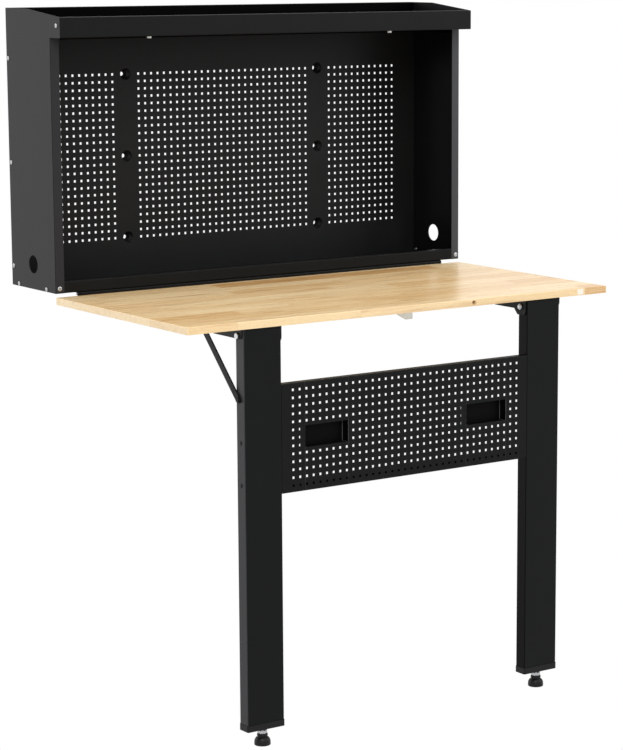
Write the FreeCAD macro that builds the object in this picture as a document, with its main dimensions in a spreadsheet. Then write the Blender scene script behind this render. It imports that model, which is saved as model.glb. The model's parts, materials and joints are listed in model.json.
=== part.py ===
"""Wall mounted folding workbench: a steel wall cabinet, a hinged board and a folding leg frame.

Millimetres. The origin is the centre of the wall bolt pattern on the wall plane, +X runs to the
right of someone facing the cabinet, +Y into the wall and +Z up. The board is drawn down, ready for
work, with its legs standing on the floor.
"""
import FreeCAD, Part
import math
import os
import re

import Sketcher
from FreeCAD import Vector

# Driving dimensions. Each one is set once here and reaches the model through the sheet.
SIZES = [
    # wall cabinet
    ("cabinet_width", 1040, "outer width, also the board's length"),
    ("cabinet_depth", 192, "wall plane to the front flanges"),
    ("opening_height", 523, "bottom to the fascia's lower edge"),
    ("bolt_centre_height", 260, "centre of the wall bolts above the bottom"),
    ("cabinet_sheet", 1.2, "sheet thickness of the cabinet"),
    ("bend_radius", 2, "outside radius of the folded edges"),
    ("side_flange", 20, "front return of a side"),
    ("bottom_flange", 24, "front upstand of the bottom"),
    ("fold", 12, "hidden return folds"),
    ("fascia_height", 42, "height of the fascia's face"),
    ("fascia_projection", 43, "fascia's face in front of the cabinet"),
    ("cheek_level", 90, "level part of the cheeks' top edge"),
    ("cheek_rise", 15, "level part above the fascia"),
    ("back_standoff", 19, "wall plane to the back panel's face"),
    ("wall_bolt_span", 496, "wall bolts, left to right"),
    ("wall_bolt_rise", 352, "wall bolts, bottom to top"),
    ("wall_hole_radius", 4.25, "hole for an 8 mm wall screw"),
    ("dish_mouth_radius", 13, "pressed dish round a wall hole, at the panel's face"),
    ("dish_floor_radius", 9, "the same dish at its floor"),
    ("field_height", 368, "openwork fields of the back panel, centred on the wall bolts"),
    ("field_margin", 56, "outer field in from the cabinet's side"),
    ("field_gap", 48, "plain strip between two fields, centred on a column of wall bolts"),
    ("field_open", 0.45, "share of a field's cell that its opening takes, in each direction"),
    ("field_rows", 4, "rows of openings"),
    ("outer_columns", 2, "columns of openings in each outer field"),
    ("middle_columns", 4, "columns of openings in the middle field"),
    ("cable_hole_radius", 19, "cable hole in each side"),
    ("cable_hole_height", 52, "cable hole's centre above the bottom"),
    ("magnet_radius", 6, "catch magnet"),
    ("magnet_height", 4, "how far a catch magnet stands below the fascia"),
    # board hinge
    ("hinge_inset", 50, "each end of the continuous hinge in from the cabinet's side"),
    ("knuckle_radius", 3.2, "outside of a knuckle"),
    ("knuckle_count", 3, "knuckles of both leaves together, an odd number"),
    ("knuckle_gap", 0.4, "space between neighbouring knuckles"),
    ("hinge_pin_radius", 1.5, "hinge pin"),
    ("running_gap", 0.05, "radial clearance of a turning or sliding fit"),
    ("leaf_thickness", 1.2, "hinge leaf"),
    ("leaf_width", 22, "cabinet leaf, from the pin's axis"),
    ("leaf_relief", 0.3, "leaf's outer face proud of the knuckles"),
    ("hinge_setback", 2, "pin's axis behind the cabinet's front"),
    ("closed_gap", 2, "cabinet's front to the board when it is folded up"),
    # board
    ("board_depth", 520, "rear edge to front edge"),
    ("board_thickness", 15, "finger jointed hardwood board"),
    ("board_arris", 1.5, "rounding of the board's upper edges"),
    ("lock_hole_radius", 4.25, "blind hole in the front edge"),
    ("lock_hole_depth", 20, "depth of that hole"),
    ("lock_hole_offset", 165, "that hole right of the centre"),
    ("strike_inset", 71, "strike plate's centre in from the board's right end"),
    ("strike_width", 16, "strike plate along the edge"),
    ("strike_height", 11, "strike plate's height"),
    ("strike_thickness", 1, "strike plate, let in flush"),
    ("latch_width", 17, "latch tab along the edge"),
    ("latch_drop", 13, "latch tab below the board"),
    ("latch_length", 50, "latch tab's foot, front to rear"),
    ("latch_sheet", 2, "latch tab's thickness"),
    # legs
    ("working_height", 858, "floor to the board's upper face"),
    ("leg_inset", 170, "leg's centre in from the board's end"),
    ("leg_width", 86, "wide face of the tube"),
    ("leg_depth", 30, "narrow face of the tube"),
    ("leg_wall", 1.5, "wall of the tube"),
    ("leg_corner", 2.5, "outside corner radius of the tube"),
    ("leg_setback", 2, "leg's face behind the board's front edge"),
    ("leg_head", 12, "leg's top above the pivot"),
    ("leg_head_slope", 9, "slope that lets the head turn under the bracket"),
    ("pivot_drop", 14.5, "leg pivot below the board's underside"),
    ("pivot_setback", 18, "leg pivot behind the leg's front"),
    ("pivot_radius", 3, "pivot bolt"),
    ("pivot_head_flats", 10, "pivot bolt's head and nut across flats"),
    ("pivot_head_height", 4, "pivot bolt's head"),
    ("pivot_nut_height", 6, "pivot bolt's nut"),
    ("cap_height", 13, "end cap's skirt"),
    ("cap_wall", 1, "end cap's wall outside the tube"),
    ("cap_floor", 3, "end cap's floor under the tube"),
    ("cap_plug_height", 18, "threaded plug inside the tube"),
    # levelling feet
    ("foot_reach", 35, "cap to floor"),
    ("foot_radius", 16, "foot on the floor"),
    ("foot_neck_radius", 10, "neck of the foot under the lock nut"),
    ("foot_height", 23, "height of the foot"),
    ("foot_rim", 12, "height of the foot's wide base"),
    ("stud_radius", 5, "levelling stud"),
    ("stud_engagement", 20, "stud inside the cap"),
    ("foot_nut_flats", 17, "lock nut across flats"),
    ("foot_nut_height", 8, "lock nut"),
    # leg brackets under the board
    ("bracket_sheet", 2, "sheet of the leg brackets and stay rails"),
    ("bracket_gap", 1, "leg to ear"),
    ("ear_drop", 20, "ear's lower edge below the board"),
    ("ear_reach", 95, "ear behind the pivot"),
    ("ear_nose", 15, "ear in front of the pivot"),
    ("ear_corner", 9, "rounded lower corners of the ears"),
    ("lobe_drop", 32, "deeper front of the inner ear"),
    ("lobe_chamfer", 11, "slope at the rear of that front"),
    # folding stays
    ("stay_offset", 125, "stay's two pins from the leg pivot"),
    ("stay_width", 14, "flat bar"),
    ("stay_thickness", 3, "flat bar"),
    ("stay_washer", 1.3, "leg to stay"),
    ("stay_pin_radius", 3, "pins of the stay"),
    ("pin_head_radius", 5.5, "pin head"),
    ("pin_head_height", 1.6, "pin head"),
    ("rail_gap", 1, "lower pin's head to the rail"),
    ("rail_width", 24, "rail's flange on the board"),
    ("rail_margin", 14, "rail beyond the slot's pin centres"),
    ("rail_land", 6, "rail's metal below the slot"),
    ("slot_gap", 0.5, "slot wider than the pin, each side"),
    ("open_gap", 0.3, "upper pin's end short of the rail"),
    # perforated panel between the legs
    ("panel_sheet", 1.2, "panel's sheet"),
    ("panel_drop", 131, "panel's top below the board's upper face"),
    ("panel_height", 219, "panel's height"),
    ("panel_recess", 0.5, "panel's face behind the legs' faces"),
    ("panel_flange", 18, "panel's depth with its folds"),
    ("panel_lip", 18, "upstand behind the lowest row"),
    ("grip_width", 104, "grip recess"),
    ("grip_height", 44, "grip recess"),
    ("grip_inset", 107, "grip recess's centre in from the leg"),
    ("grip_wing", 8, "grip pan's wings behind the panel"),
]

doc = FreeCAD.newDocument("FoldingWorkbench")
sheet = doc.addObject("Spreadsheet::Sheet", "Sizes")
for row, (alias, number, note) in enumerate(SIZES, start=1):
    sheet.set(f"A{row}", note)
    sheet.set(f"B{row}", str(number))
    sheet.setAlias(f"B{row}", alias)
doc.recompute()

places = doc.addObject("App::VarSet", "Places")
gauge = doc.addObject("App::VarSet", "Gauge")
gauge.addProperty("App::PropertyFloat", "reading", "Gauge")
owners = {alias: "Sizes" for alias, number, note in SIZES}


def link(formula):
    """The formula with every named size or place tied to the object that holds it."""
    return re.sub(r"[a-z]\w*", lambda word: owned_name(word.group()), str(formula))


def owned_name(word):
    return f"{owners[word]}.{word}" if word in owners else word


def value(formula):
    """The formula's number at this moment."""
    gauge.setExpression("reading", link(formula))
    gauge.recompute()
    return gauge.reading


def place(name, formula):
    """Name a position or length that several pieces share."""
    places.addProperty("App::PropertyFloat", name, "Places")
    places.setExpression(name, link(formula))
    doc.recompute()
    owners[name] = "Places"


def minus(formula):
    return f"-({formula})"


def span(side, near, far):
    """A stretch of X from the centre outwards, on the right (1) or the left (-1)."""
    return (near, far) if side > 0 else (minus(far), minus(near))


# ---------------------------------------------------------------------------------------------
# Shared places
# ---------------------------------------------------------------------------------------------
place("half_width", "cabinet_width / 2")
place("inner_half", "half_width - cabinet_sheet")
place("cabinet_bottom", "-bolt_centre_height")
place("cabinet_front", "-cabinet_depth")
place("fascia_bottom", "cabinet_bottom + opening_height")
place("fascia_top", "fascia_bottom + fascia_height")
place("cabinet_top", "fascia_top + cheek_rise")
place("fascia_front", "cabinet_front - fascia_projection")
place("back_face", "-back_standoff")
place("tray_z", "fascia_bottom + cabinet_sheet")
place("middle_field", "wall_bolt_span / 2 - field_gap / 2")
place("outer_field_start", "wall_bolt_span / 2 + field_gap / 2")
place("outer_field_end", "half_width - field_margin")
place("cable_hole_y", "cabinet_front / 2")
place("cable_hole_z", "cabinet_bottom + cable_hole_height")

place("hinge_offset", "knuckle_radius + leaf_relief")
place("hinge_y", "cabinet_front + hinge_setback")
place("hinge_z", "cabinet_bottom - hinge_offset")
place("hinge_length", "(half_width - hinge_inset) * 2")
place("knuckle_pitch", "hinge_length / knuckle_count")
place("knuckle_clear", "knuckle_radius + knuckle_gap")
place("leaf_low_z", "cabinet_bottom - leaf_thickness")

place("board_top", "hinge_z - hinge_setback - closed_gap")
place("board_under", "board_top - board_thickness")
place("board_rear", "hinge_y - hinge_offset")
place("board_front", "board_rear - board_depth")

place("board_middle", "(board_top + board_under) / 2")
place("strike_x", "half_width - strike_inset")

place("leg_x", "half_width - leg_inset")
place("leg_outer", "leg_x + leg_width / 2")
place("leg_inner", "leg_x - leg_width / 2")
place("leg_front", "board_front + leg_setback")
place("leg_rear", "leg_front + leg_depth")
place("leg_middle", "leg_front + leg_depth / 2")
place("pivot_y", "leg_front + pivot_setback")
place("pivot_z", "board_under - pivot_drop")
place("leg_top", "pivot_z + leg_head")
place("floor_z", "board_top - working_height")
place("cap_bottom", "floor_z + foot_reach")
place("leg_bottom", "cap_bottom + cap_floor")

place("ear_inner", "leg_inner - bracket_gap")
place("ear_outer", "leg_outer + bracket_gap")
place("ear_bottom", "board_under - ear_drop")

place("stay_inner", "leg_outer + stay_washer")
place("stay_outer", "stay_inner + stay_thickness")
place("stay_length", "sqrt(2) * stay_offset")
place("rail_inner", "stay_outer + pin_head_height + rail_gap")
place("stay_low_z", "pivot_z - stay_offset")
place("stay_high_y", "pivot_y + stay_offset")
place("slot_end_y", "stay_high_y + stay_length")
place("slot_half", "stay_pin_radius + slot_gap")
place("rail_bottom", "pivot_z - slot_half - rail_land")

place("panel_top", "board_top - panel_drop")
place("panel_bottom", "panel_top - panel_height")
place("panel_front", "leg_front + panel_recess")
place("panel_rear", "panel_front + panel_flange")
place("panel_centre_z", "(panel_top + panel_bottom) / 2")
place("grip_x", "leg_inner - grip_inset")


# ---------------------------------------------------------------------------------------------
# Sketches and features. Outlines are given in world coordinates: (x, y), (x, z) or (y, z).
# ---------------------------------------------------------------------------------------------
def new_body(label):
    body = doc.addObject("PartDesign::Body", label)
    body.Label = label
    return body


def new_sketch(body, role, offset):
    """A sketch parallel to one of the body's own planes, offset along that plane's normal."""
    plane = next(item for item in body.Origin.OriginFeatures if item.Role == role)
    sketch = body.newObject("Sketcher::SketchObject", body.Name + "_sketch")
    sketch.AttachmentSupport = [(plane, "")]
    sketch.MapMode = "FlatFace"
    sketch.setExpression("AttachmentOffset.Base.z", link(offset))
    return sketch


def constrain(sketch, kind, geometry, point, formula):
    """Hold a point of the sketch at a formula's distance from its origin."""
    index = sketch.addConstraint(Sketcher.Constraint(kind, -1, 1, geometry, point, value(formula)))
    sketch.setExpression(f"Constraints[{index}]", link(formula))


def draw_polygon(sketch, corners):
    """A closed outline with straight sides."""
    points = [Vector(value(across), value(up), 0) for across, up in corners]
    first = sketch.GeometryCount
    count = len(points)
    for number in range(count):
        sketch.addGeometry(Part.LineSegment(points[number], points[(number + 1) % count]))
    for number in range(count):
        after = first + (number + 1) % count
        sketch.addConstraint(Sketcher.Constraint("Coincident", first + number, 2, after, 1))
    for number, (across, up) in enumerate(corners):
        constrain(sketch, "DistanceX", first + number, 1, across)
        constrain(sketch, "DistanceY", first + number, 1, up)


def draw_rectangle(sketch, low_across, high_across, low_up, high_up):
    corners = [
        (low_across, low_up),
        (high_across, low_up),
        (high_across, high_up),
        (low_across, high_up),
    ]
    draw_polygon(sketch, corners)


def draw_circle(sketch, across, up, radius):
    centre = Vector(value(across), value(up), 0)
    circle = sketch.addGeometry(Part.Circle(centre, Vector(0, 0, 1), value(radius)))
    constrain(sketch, "DistanceX", circle, 3, across)
    constrain(sketch, "DistanceY", circle, 3, up)
    index = sketch.addConstraint(Sketcher.Constraint("Radius", circle, value(radius)))
    sketch.setExpression(f"Constraints[{index}]", link(radius))


def draw_openings(sketch, low_across, high_across, columns, rows):
    """Rows and columns of equal openings, each in the middle of its own cell of a field."""
    across_step = f"({high_across} - ({low_across})) / {columns}"
    up_step = f"field_height / {rows}"
    for column in range(int(value(columns))):
        middle = f"{low_across} + {across_step} * {column + 0.5}"
        for row in range(int(value(rows))):
            level = f"{up_step} * {row + 0.5} - field_height / 2"
            across = [f"{middle} {sign} {across_step} * field_open / 2" for sign in "-+"]
            up = [f"{level} {sign} {up_step} * field_open / 2" for sign in "-+"]
            draw_rectangle(sketch, *across, *up)


# Each plane's role, the sign of its normal along the world axis, and that axis.
PLANES = {"x": ("YZ_Plane", 1), "y": ("XZ_Plane", -1), "z": ("XY_Plane", 1)}

CONE_SIDES = 8


def pad(body, axis, low, high, draw, *numbers):
    """Extrude an outline along a world axis from low to high."""
    role, sign = PLANES[axis]
    start = low if sign > 0 else minus(high)
    sketch = new_sketch(body, role, start)
    draw(sketch, *numbers)
    feature = body.newObject("PartDesign::Pad", body.Name + "_pad")
    feature.Profile = sketch
    feature.setExpression("Length", link(f"({high}) - ({low})"))
    doc.recompute()
    return feature


def cut(body, axis, low, high, draw, *numbers):
    """Remove an outline along a world axis from low to high."""
    role, sign = PLANES[axis]
    start = high if sign > 0 else minus(low)
    sketch = new_sketch(body, role, start)
    draw(sketch, *numbers)
    before = body.Shape.Volume
    feature = body.newObject("PartDesign::Pocket", body.Name + "_pocket")
    feature.Profile = sketch
    feature.setExpression("Length", link(f"({high}) - ({low})"))
    doc.recompute()
    if not body.Shape.Volume < before:
        raise ValueError(f"{body.Label}: a pocket removed nothing")
    return feature


# A turned piece's axis, with the sketch plane, the sign of its normal, the shifted coordinate
# and the sketch axis it turns round.
TURNS = {
    "x": ("XY_Plane", 1, "y", "H_Axis"),
    "y": ("XY_Plane", 1, "x", "V_Axis"),
    "z": ("XZ_Plane", -1, "x", "V_Axis"),
}


def turn(body, axis, shift, depth, outline):
    """Revolve an outline of (radius, position along the axis) round a line parallel to a world axis.

    The line lies at shift in the first of the other two coordinates and at depth in the second.
    """
    role, sign, shifted, sketch_axis = TURNS[axis]
    sketch = new_sketch(body, role, depth if sign > 0 else minus(depth))
    sketch.setExpression(f"AttachmentOffset.Base.{shifted}", link(shift))
    if axis == "x":
        outline = [(along, radius) for radius, along in outline]
    draw_polygon(sketch, outline)
    feature = body.newObject("PartDesign::Revolution", body.Name + "_turned")
    feature.Profile = sketch
    feature.ReferenceAxis = (sketch, [sketch_axis])
    feature.Angle = 360
    doc.recompute()
    return feature


def draw_facets(sketch, across, up, radius):
    """A regular outline with CONE_SIDES corners on a circle."""
    corners = []
    for number in range(CONE_SIDES):
        angle = math.tau * (number + 0.5) / CONE_SIDES
        step = (f"({radius}) * {math.cos(angle):.9f}", f"({radius}) * {math.sin(angle):.9f}")
        corners.append((f"{across} + {step[0]}", f"{up} + {step[1]}"))
    draw_polygon(sketch, corners)


def taper(body, kind, axis, *levels):
    """Add or subtract a cone with flat sides between two levels of (height, across, up, radius).

    Flat sides keep the facets few on the small cones that repeat.
    """
    role, sign = PLANES[axis]
    sketches = []
    for height, across, up, radius in levels:
        sketch = new_sketch(body, role, height if sign > 0 else minus(height))
        draw_facets(sketch, across, up, radius)
        sketches.append(sketch)
    doc.recompute()
    feature = body.newObject(f"PartDesign::{kind}Loft", body.Name + "_taper")
    feature.Profile = sketches[0]
    feature.Sections = sketches[1:]
    feature.Ruled = True
    doc.recompute()
    return feature


def stepped(*steps):
    """A turned outline from (radius, start, end) steps that follow one another along the axis."""
    outline = [(0, steps[0][1])]
    for radius, start, end in steps:
        outline += [(radius, start), (radius, end)]
    return outline + [(0, steps[-1][2])]


def draw_hexagon(sketch, across, up, flats):
    corner = f"({flats}) / sqrt(3)"
    corners = [
        (f"{across} + {corner}", up),
        (f"{across} + {corner} / 2", f"{up} + ({flats}) / 2"),
        (f"{across} - {corner} / 2", f"{up} + ({flats}) / 2"),
        (f"{across} - {corner}", up),
        (f"{across} - {corner} / 2", f"{up} - ({flats}) / 2"),
        (f"{across} + {corner} / 2", f"{up} - ({flats}) / 2"),
    ]
    draw_polygon(sketch, corners)


def straight_along(axis, **coordinates):
    """A test for the straight edges that run along an axis through the given coordinates."""
    wanted = {name: value(formula) for name, formula in coordinates.items()}

    def test(edge):
        if len(edge.Vertexes) != 2:
            return False
        start, end = (vertex.Point for vertex in edge.Vertexes)
        level = all(abs(getattr(end - start, other)) < 0.01 for other in "xyz" if other != axis)
        near = all(abs(getattr(start, name) - number) < 0.01 for name, number in wanted.items())
        return level and near

    return test


def round_edges(body, radius, *tests):
    """Round the straight edges that pass any of the tests."""
    edges = enumerate(body.Shape.Edges, 1)
    names = [f"Edge{number}" for number, edge in edges if any(test(edge) for test in tests)]
    if not names:
        raise ValueError(f"{body.Label}: no edge to round")
    base = body.Tip
    before = body.Shape.Volume
    feature = body.newObject("PartDesign::Fillet", body.Name + "_rounding")
    feature.Base = (base, names)
    feature.setExpression("Radius", link(radius))
    doc.recompute()
    if abs(body.Shape.Volume - before) < 0.01:
        raise ValueError(f"{body.Label}: a rounding changed nothing")
    return feature


# ---------------------------------------------------------------------------------------------
# Wall cabinet
# ---------------------------------------------------------------------------------------------
def make_side(label, side):
    """Folded side: plate with the cheek on top, front return and cable hole."""
    body = new_body(label)
    plate = span(side, "inner_half", "half_width")
    flange = span(side, "half_width - side_flange", "half_width")
    rise = ("cabinet_bottom", "fascia_bottom")
    pad(body, "x", *plate, draw_rectangle, "cabinet_front", "0", *rise)
    front = ("cabinet_front", "cabinet_front + cabinet_sheet")
    pad(body, "y", *front, draw_rectangle, *flange, *rise)
    fold = straight_along("z", x=f"{side} * half_width", y="cabinet_front")
    round_edges(body, "bend_radius", fold)
    cheek = [
        ("0", "fascia_bottom"),
        ("fascia_front + cabinet_sheet", "fascia_bottom"),
        ("fascia_front + cabinet_sheet", "fascia_top"),
        ("-cheek_level", "cabinet_top"),
        ("0", "cabinet_top"),
    ]
    pad(body, "x", *plate, draw_polygon, cheek)
    cut(body, "x", *plate, draw_circle, "cable_hole_y", "cable_hole_z", "cable_hole_radius")
    return body


def make_back_panel():
    """Back panel: a shallow tray on the wall, open in three fields between its pressed dishes."""
    body = new_body("back_panel")
    floor = "cabinet_bottom + cabinet_sheet"
    outer = ("-inner_half", "inner_half", floor, "cabinet_top")
    inner = (
        "cabinet_sheet - inner_half",
        "inner_half - cabinet_sheet",
        f"{floor} + cabinet_sheet",
        "cabinet_top - cabinet_sheet",
    )
    pad(body, "y", "back_face", "0", draw_rectangle, *outer)
    cut(body, "y", "back_face + cabinet_sheet", "0", draw_rectangle, *inner)
    for across in ("-wall_bolt_span / 2", "wall_bolt_span / 2"):
        for up in ("-wall_bolt_rise / 2", "0", "wall_bolt_rise / 2"):
            make_dish(body, across, up)
    face = ("back_face", "back_face + cabinet_sheet")
    fields = [
        ("-outer_field_end", "-outer_field_start", "outer_columns"),
        ("-middle_field", "middle_field", "middle_columns"),
        ("outer_field_start", "outer_field_end", "outer_columns"),
    ]
    for field in fields:
        cut(body, "y", *face, draw_openings, *field, "field_rows")
    top = straight_along("x", y="back_face", z="cabinet_top")
    round_edges(body, "bend_radius", top)
    return body


def make_dish(body, across, up):
    """One pressed dish: a cup from the panel's face back to the wall, with the screw's hole."""
    rear = "back_face + cabinet_sheet"
    middle = (across, up)
    wide = "dish_mouth_radius + cabinet_sheet"
    narrow = "dish_floor_radius + cabinet_sheet"
    taper(body, "Additive", "y", (rear, *middle, wide), ("0", *middle, narrow))
    floor = ("-cabinet_sheet", *middle, "dish_floor_radius")
    taper(body, "Subtractive", "y", ("back_face", *middle, "dish_mouth_radius"), floor)
    cut(body, "y", "-cabinet_sheet", "0", draw_circle, *middle, "wall_hole_radius")


def make_bottom_panel():
    """Bottom: plate, front upstand with a return, and folds against the sides."""
    body = new_body("bottom_panel")
    upper = "cabinet_bottom + cabinet_sheet"
    crest = "cabinet_bottom + bottom_flange"
    section = [
        ("0", "cabinet_bottom"),
        ("cabinet_front", "cabinet_bottom"),
        ("cabinet_front", crest),
        ("cabinet_front + fold", crest),
        ("cabinet_front + fold", f"{crest} - cabinet_sheet"),
        ("cabinet_front + cabinet_sheet", f"{crest} - cabinet_sheet"),
        ("cabinet_front + cabinet_sheet", upper),
        ("0", upper),
    ]
    pad(body, "x", "side_flange - half_width", "half_width - side_flange", draw_polygon, section)
    plate = ("-inner_half", "inner_half", "cabinet_front + cabinet_sheet", "0")
    pad(body, "z", "cabinet_bottom", upper, draw_rectangle, *plate)
    for side in (-1, 1):
        tab = span(side, "half_width - side_flange * 2", "inner_half")
        behind = ("cabinet_front + cabinet_sheet", "cabinet_front + cabinet_sheet * 2")
        pad(body, "y", *behind, draw_rectangle, *tab, upper, crest)
        edge = span(side, "inner_half - cabinet_sheet", "inner_half")
        reach = ("cabinet_front + cabinet_sheet", "back_face")
        pad(body, "x", *edge, draw_rectangle, *reach, upper, f"{upper} + fold")
    lower = straight_along("x", y="cabinet_front", z="cabinet_bottom")
    brow = straight_along("x", y="cabinet_front", z=crest)
    round_edges(body, "bend_radius", lower, brow)
    return body


def make_tray_floor():
    """Floor of the tray on top, folded down at the back and at both ends."""
    body = new_body("tray_floor")
    section = [
        ("cabinet_front - fold", "tray_z"),
        ("back_face - cabinet_sheet", "tray_z"),
        ("back_face - cabinet_sheet", "tray_z - fold"),
        ("back_face", "tray_z - fold"),
        ("back_face", "tray_z + cabinet_sheet"),
        ("cabinet_front - fold", "tray_z + cabinet_sheet"),
    ]
    pad(body, "x", "-inner_half", "inner_half", draw_polygon, section)
    for side in (-1, 1):
        edge = span(side, "inner_half - cabinet_sheet", "inner_half")
        reach = ("cabinet_front + cabinet_sheet", "back_face - cabinet_sheet")
        pad(body, "x", *edge, draw_rectangle, *reach, "tray_z - fold", "tray_z")
    return body


def make_fascia():
    """Projecting fascia: full width face with folds above and below and a tab at each end."""
    body = new_body("fascia")
    inside = "fascia_front + cabinet_sheet"
    ceiling = "fascia_top - cabinet_sheet"
    section = [
        ("fascia_front", "fascia_bottom"),
        ("cabinet_front", "fascia_bottom"),
        ("cabinet_front", "tray_z"),
        (inside, "tray_z"),
        (inside, ceiling),
        ("fascia_front + fold", ceiling),
        ("fascia_front + fold", "fascia_top"),
        ("fascia_front", "fascia_top"),
    ]
    pad(body, "x", "-inner_half", "inner_half", draw_polygon, section)
    face = ("-half_width", "half_width", "fascia_bottom", "fascia_top")
    pad(body, "y", "fascia_front", inside, draw_rectangle, *face)
    for side in (-1, 1):
        edge = span(side, "inner_half - cabinet_sheet", "inner_half")
        reach = (inside, f"{inside} + fold * 2")
        pad(body, "x", *edge, draw_rectangle, *reach, "tray_z", ceiling)
    lower = straight_along("x", y="fascia_front", z="fascia_bottom")
    brow = straight_along("x", y="fascia_front", z="fascia_top")
    round_edges(body, "bend_radius", lower, brow)
    return body


def make_catch_magnets():
    """Magnets under the fascia that hold the leg brackets' inner ears when the board is up."""
    body = new_body("catch_magnets")
    across = "board_thickness + closed_gap + ear_drop / 2"
    for side in (-1, 1):
        disc = stepped(("magnet_radius", "fascia_bottom - magnet_height", "fascia_bottom"))
        turn(body, "z", f"{side} * (ear_inner - bracket_sheet / 2)", f"cabinet_front - ({across})", disc)
    return body


# ---------------------------------------------------------------------------------------------
# Continuous hinge
# ---------------------------------------------------------------------------------------------
def make_hinge_leaf(label, bore, first, leaf, roots):
    """A leaf with every other knuckle, starting from the given one.

    leaf is the plain part, clear of the other leaf's knuckles, and roots is the strip that joins
    it to its own knuckles; both are rectangles in y and z.
    """
    body = new_body(label)
    count = int(round(value("knuckle_count")))
    pad(body, "x", "-hinge_length / 2", "hinge_length / 2", draw_rectangle, *leaf)
    for number in range(first, count, 2):
        start = f"knuckle_pitch * {number} - hinge_length / 2"
        low = f"{start} + knuckle_gap / 2" if number else start
        high = f"{start} + knuckle_pitch"
        if number < count - 1:
            high += " - knuckle_gap / 2"
        pad(body, "x", low, high, draw_circle, "hinge_y", "hinge_z", "knuckle_radius")
        pad(body, "x", low, high, draw_rectangle, *roots)
    length = ("-hinge_length / 2", "hinge_length / 2")
    cut(body, "x", *length, draw_circle, "hinge_y", "hinge_z", bore)
    return body


def make_hinge_pin():
    body = new_body("hinge_pin")
    length = ("-hinge_length / 2", "hinge_length / 2")
    pad(body, "x", *length, draw_circle, "hinge_y", "hinge_z", "hinge_pin_radius")
    return body


# ---------------------------------------------------------------------------------------------
# Folding board
# ---------------------------------------------------------------------------------------------
def make_board():
    """Board with rounded upper edges, a lock hole and the strike plate's seat."""
    body = new_body("worktop_board")
    plan = ("-half_width", "half_width", "board_front", "board_rear")
    pad(body, "z", "board_under", "board_top", draw_rectangle, *plan)
    front = straight_along("x", y="board_front", z="board_top")
    left = straight_along("y", x="-half_width", z="board_top")
    right = straight_along("y", x="half_width", z="board_top")
    round_edges(body, "board_arris", front, left, right)
    hole = ("lock_hole_offset", "board_middle", "lock_hole_radius")
    cut(body, "y", "board_front", "board_front + lock_hole_depth", draw_circle, *hole)
    seat = ("board_front", "board_front + strike_thickness")
    cut(body, "y", *seat, draw_rectangle, *strike_outline())
    return body


def strike_outline():
    return (
        "strike_x - strike_width / 2",
        "strike_x + strike_width / 2",
        "board_middle - strike_height / 2",
        "board_middle + strike_height / 2",
    )


def make_strike_plate():
    body = new_body("strike_plate")
    seat = ("board_front", "board_front + strike_thickness")
    pad(body, "y", *seat, draw_rectangle, *strike_outline())
    return body


def make_latch_tab():
    """Angle under the middle of the front edge, with a gusset along each side."""
    body = new_body("latch_tab")
    section = [
        ("board_front", "board_under"),
        ("board_front", "board_under - latch_drop"),
        ("board_front + latch_sheet", "board_under - latch_drop"),
        ("board_front + latch_sheet", "board_under - latch_sheet"),
        ("board_front + latch_length", "board_under - latch_sheet"),
        ("board_front + latch_length", "board_under"),
    ]
    pad(body, "x", "-latch_width / 2", "latch_width / 2", draw_polygon, section)
    gusset = [
        ("board_front + latch_sheet", "board_under - latch_sheet"),
        ("board_front + latch_sheet", "board_under - latch_drop"),
        ("board_front + latch_length", "board_under - latch_sheet"),
    ]
    for side in (-1, 1):
        web = span(side, "latch_width / 2 - latch_sheet", "latch_width / 2")
        pad(body, "x", *web, draw_polygon, gusset)
    return body


def make_leg_bracket(label, side):
    """Channel under the board: the leg turns between its ears, the inner one with a deep lobe."""
    body = new_body(label)
    front = "pivot_y - ear_nose"
    rear = "pivot_y + ear_reach"
    web = span(side, "ear_inner - bracket_sheet", "ear_outer + bracket_sheet")
    under = "board_under - bracket_sheet"
    pad(body, "z", under, "board_under", draw_rectangle, *web, front, rear)
    outer = span(side, "ear_outer", "ear_outer + bracket_sheet")
    inner = span(side, "ear_inner - bracket_sheet", "ear_inner")
    pad(body, "x", *outer, draw_rectangle, front, rear, "ear_bottom", under)
    lobe = [
        (front, under),
        (front, "board_under - lobe_drop"),
        ("leg_rear", "board_under - lobe_drop"),
        ("leg_rear + lobe_chamfer", "ear_bottom"),
        (rear, "ear_bottom"),
        (rear, under),
    ]
    pad(body, "x", *inner, draw_polygon, lobe)
    for ear in (outer, inner):
        cut(body, "x", *ear, draw_circle, "pivot_y", "pivot_z", "pivot_radius")
    nose = straight_along("x", y=front, z="ear_bottom")
    heel = straight_along("x", y=rear, z="ear_bottom")
    chin = straight_along("x", y=front, z="board_under - lobe_drop")
    round_edges(body, "ear_corner", nose, heel, chin)
    return body


def make_stay_rail(label, side):
    """Angle under the board with the long slot that leads the stay's upper pin."""
    body = new_body(label)
    reach = ("stay_high_y - rail_margin", "slot_end_y + rail_margin")
    flange = span(side, "rail_inner", "rail_inner + rail_width")
    web = span(side, "rail_inner", "rail_inner + bracket_sheet")
    under = "board_under - bracket_sheet"
    pad(body, "z", under, "board_under", draw_rectangle, *flange, *reach)
    pad(body, "x", *web, draw_rectangle, *reach, "rail_bottom", under)
    slot = ("stay_high_y", "slot_end_y", "pivot_z - slot_half", "pivot_z + slot_half")
    cut(body, "x", *web, draw_rectangle, *slot)
    cut(body, "x", *web, draw_circle, "stay_high_y", "pivot_z", "slot_half")
    cut(body, "x", *web, draw_circle, "slot_end_y", "pivot_z", "slot_half")
    fold = straight_along("y", x=f"{side} * rail_inner", z="board_under")
    round_edges(body, "bend_radius", fold)
    return body


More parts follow.
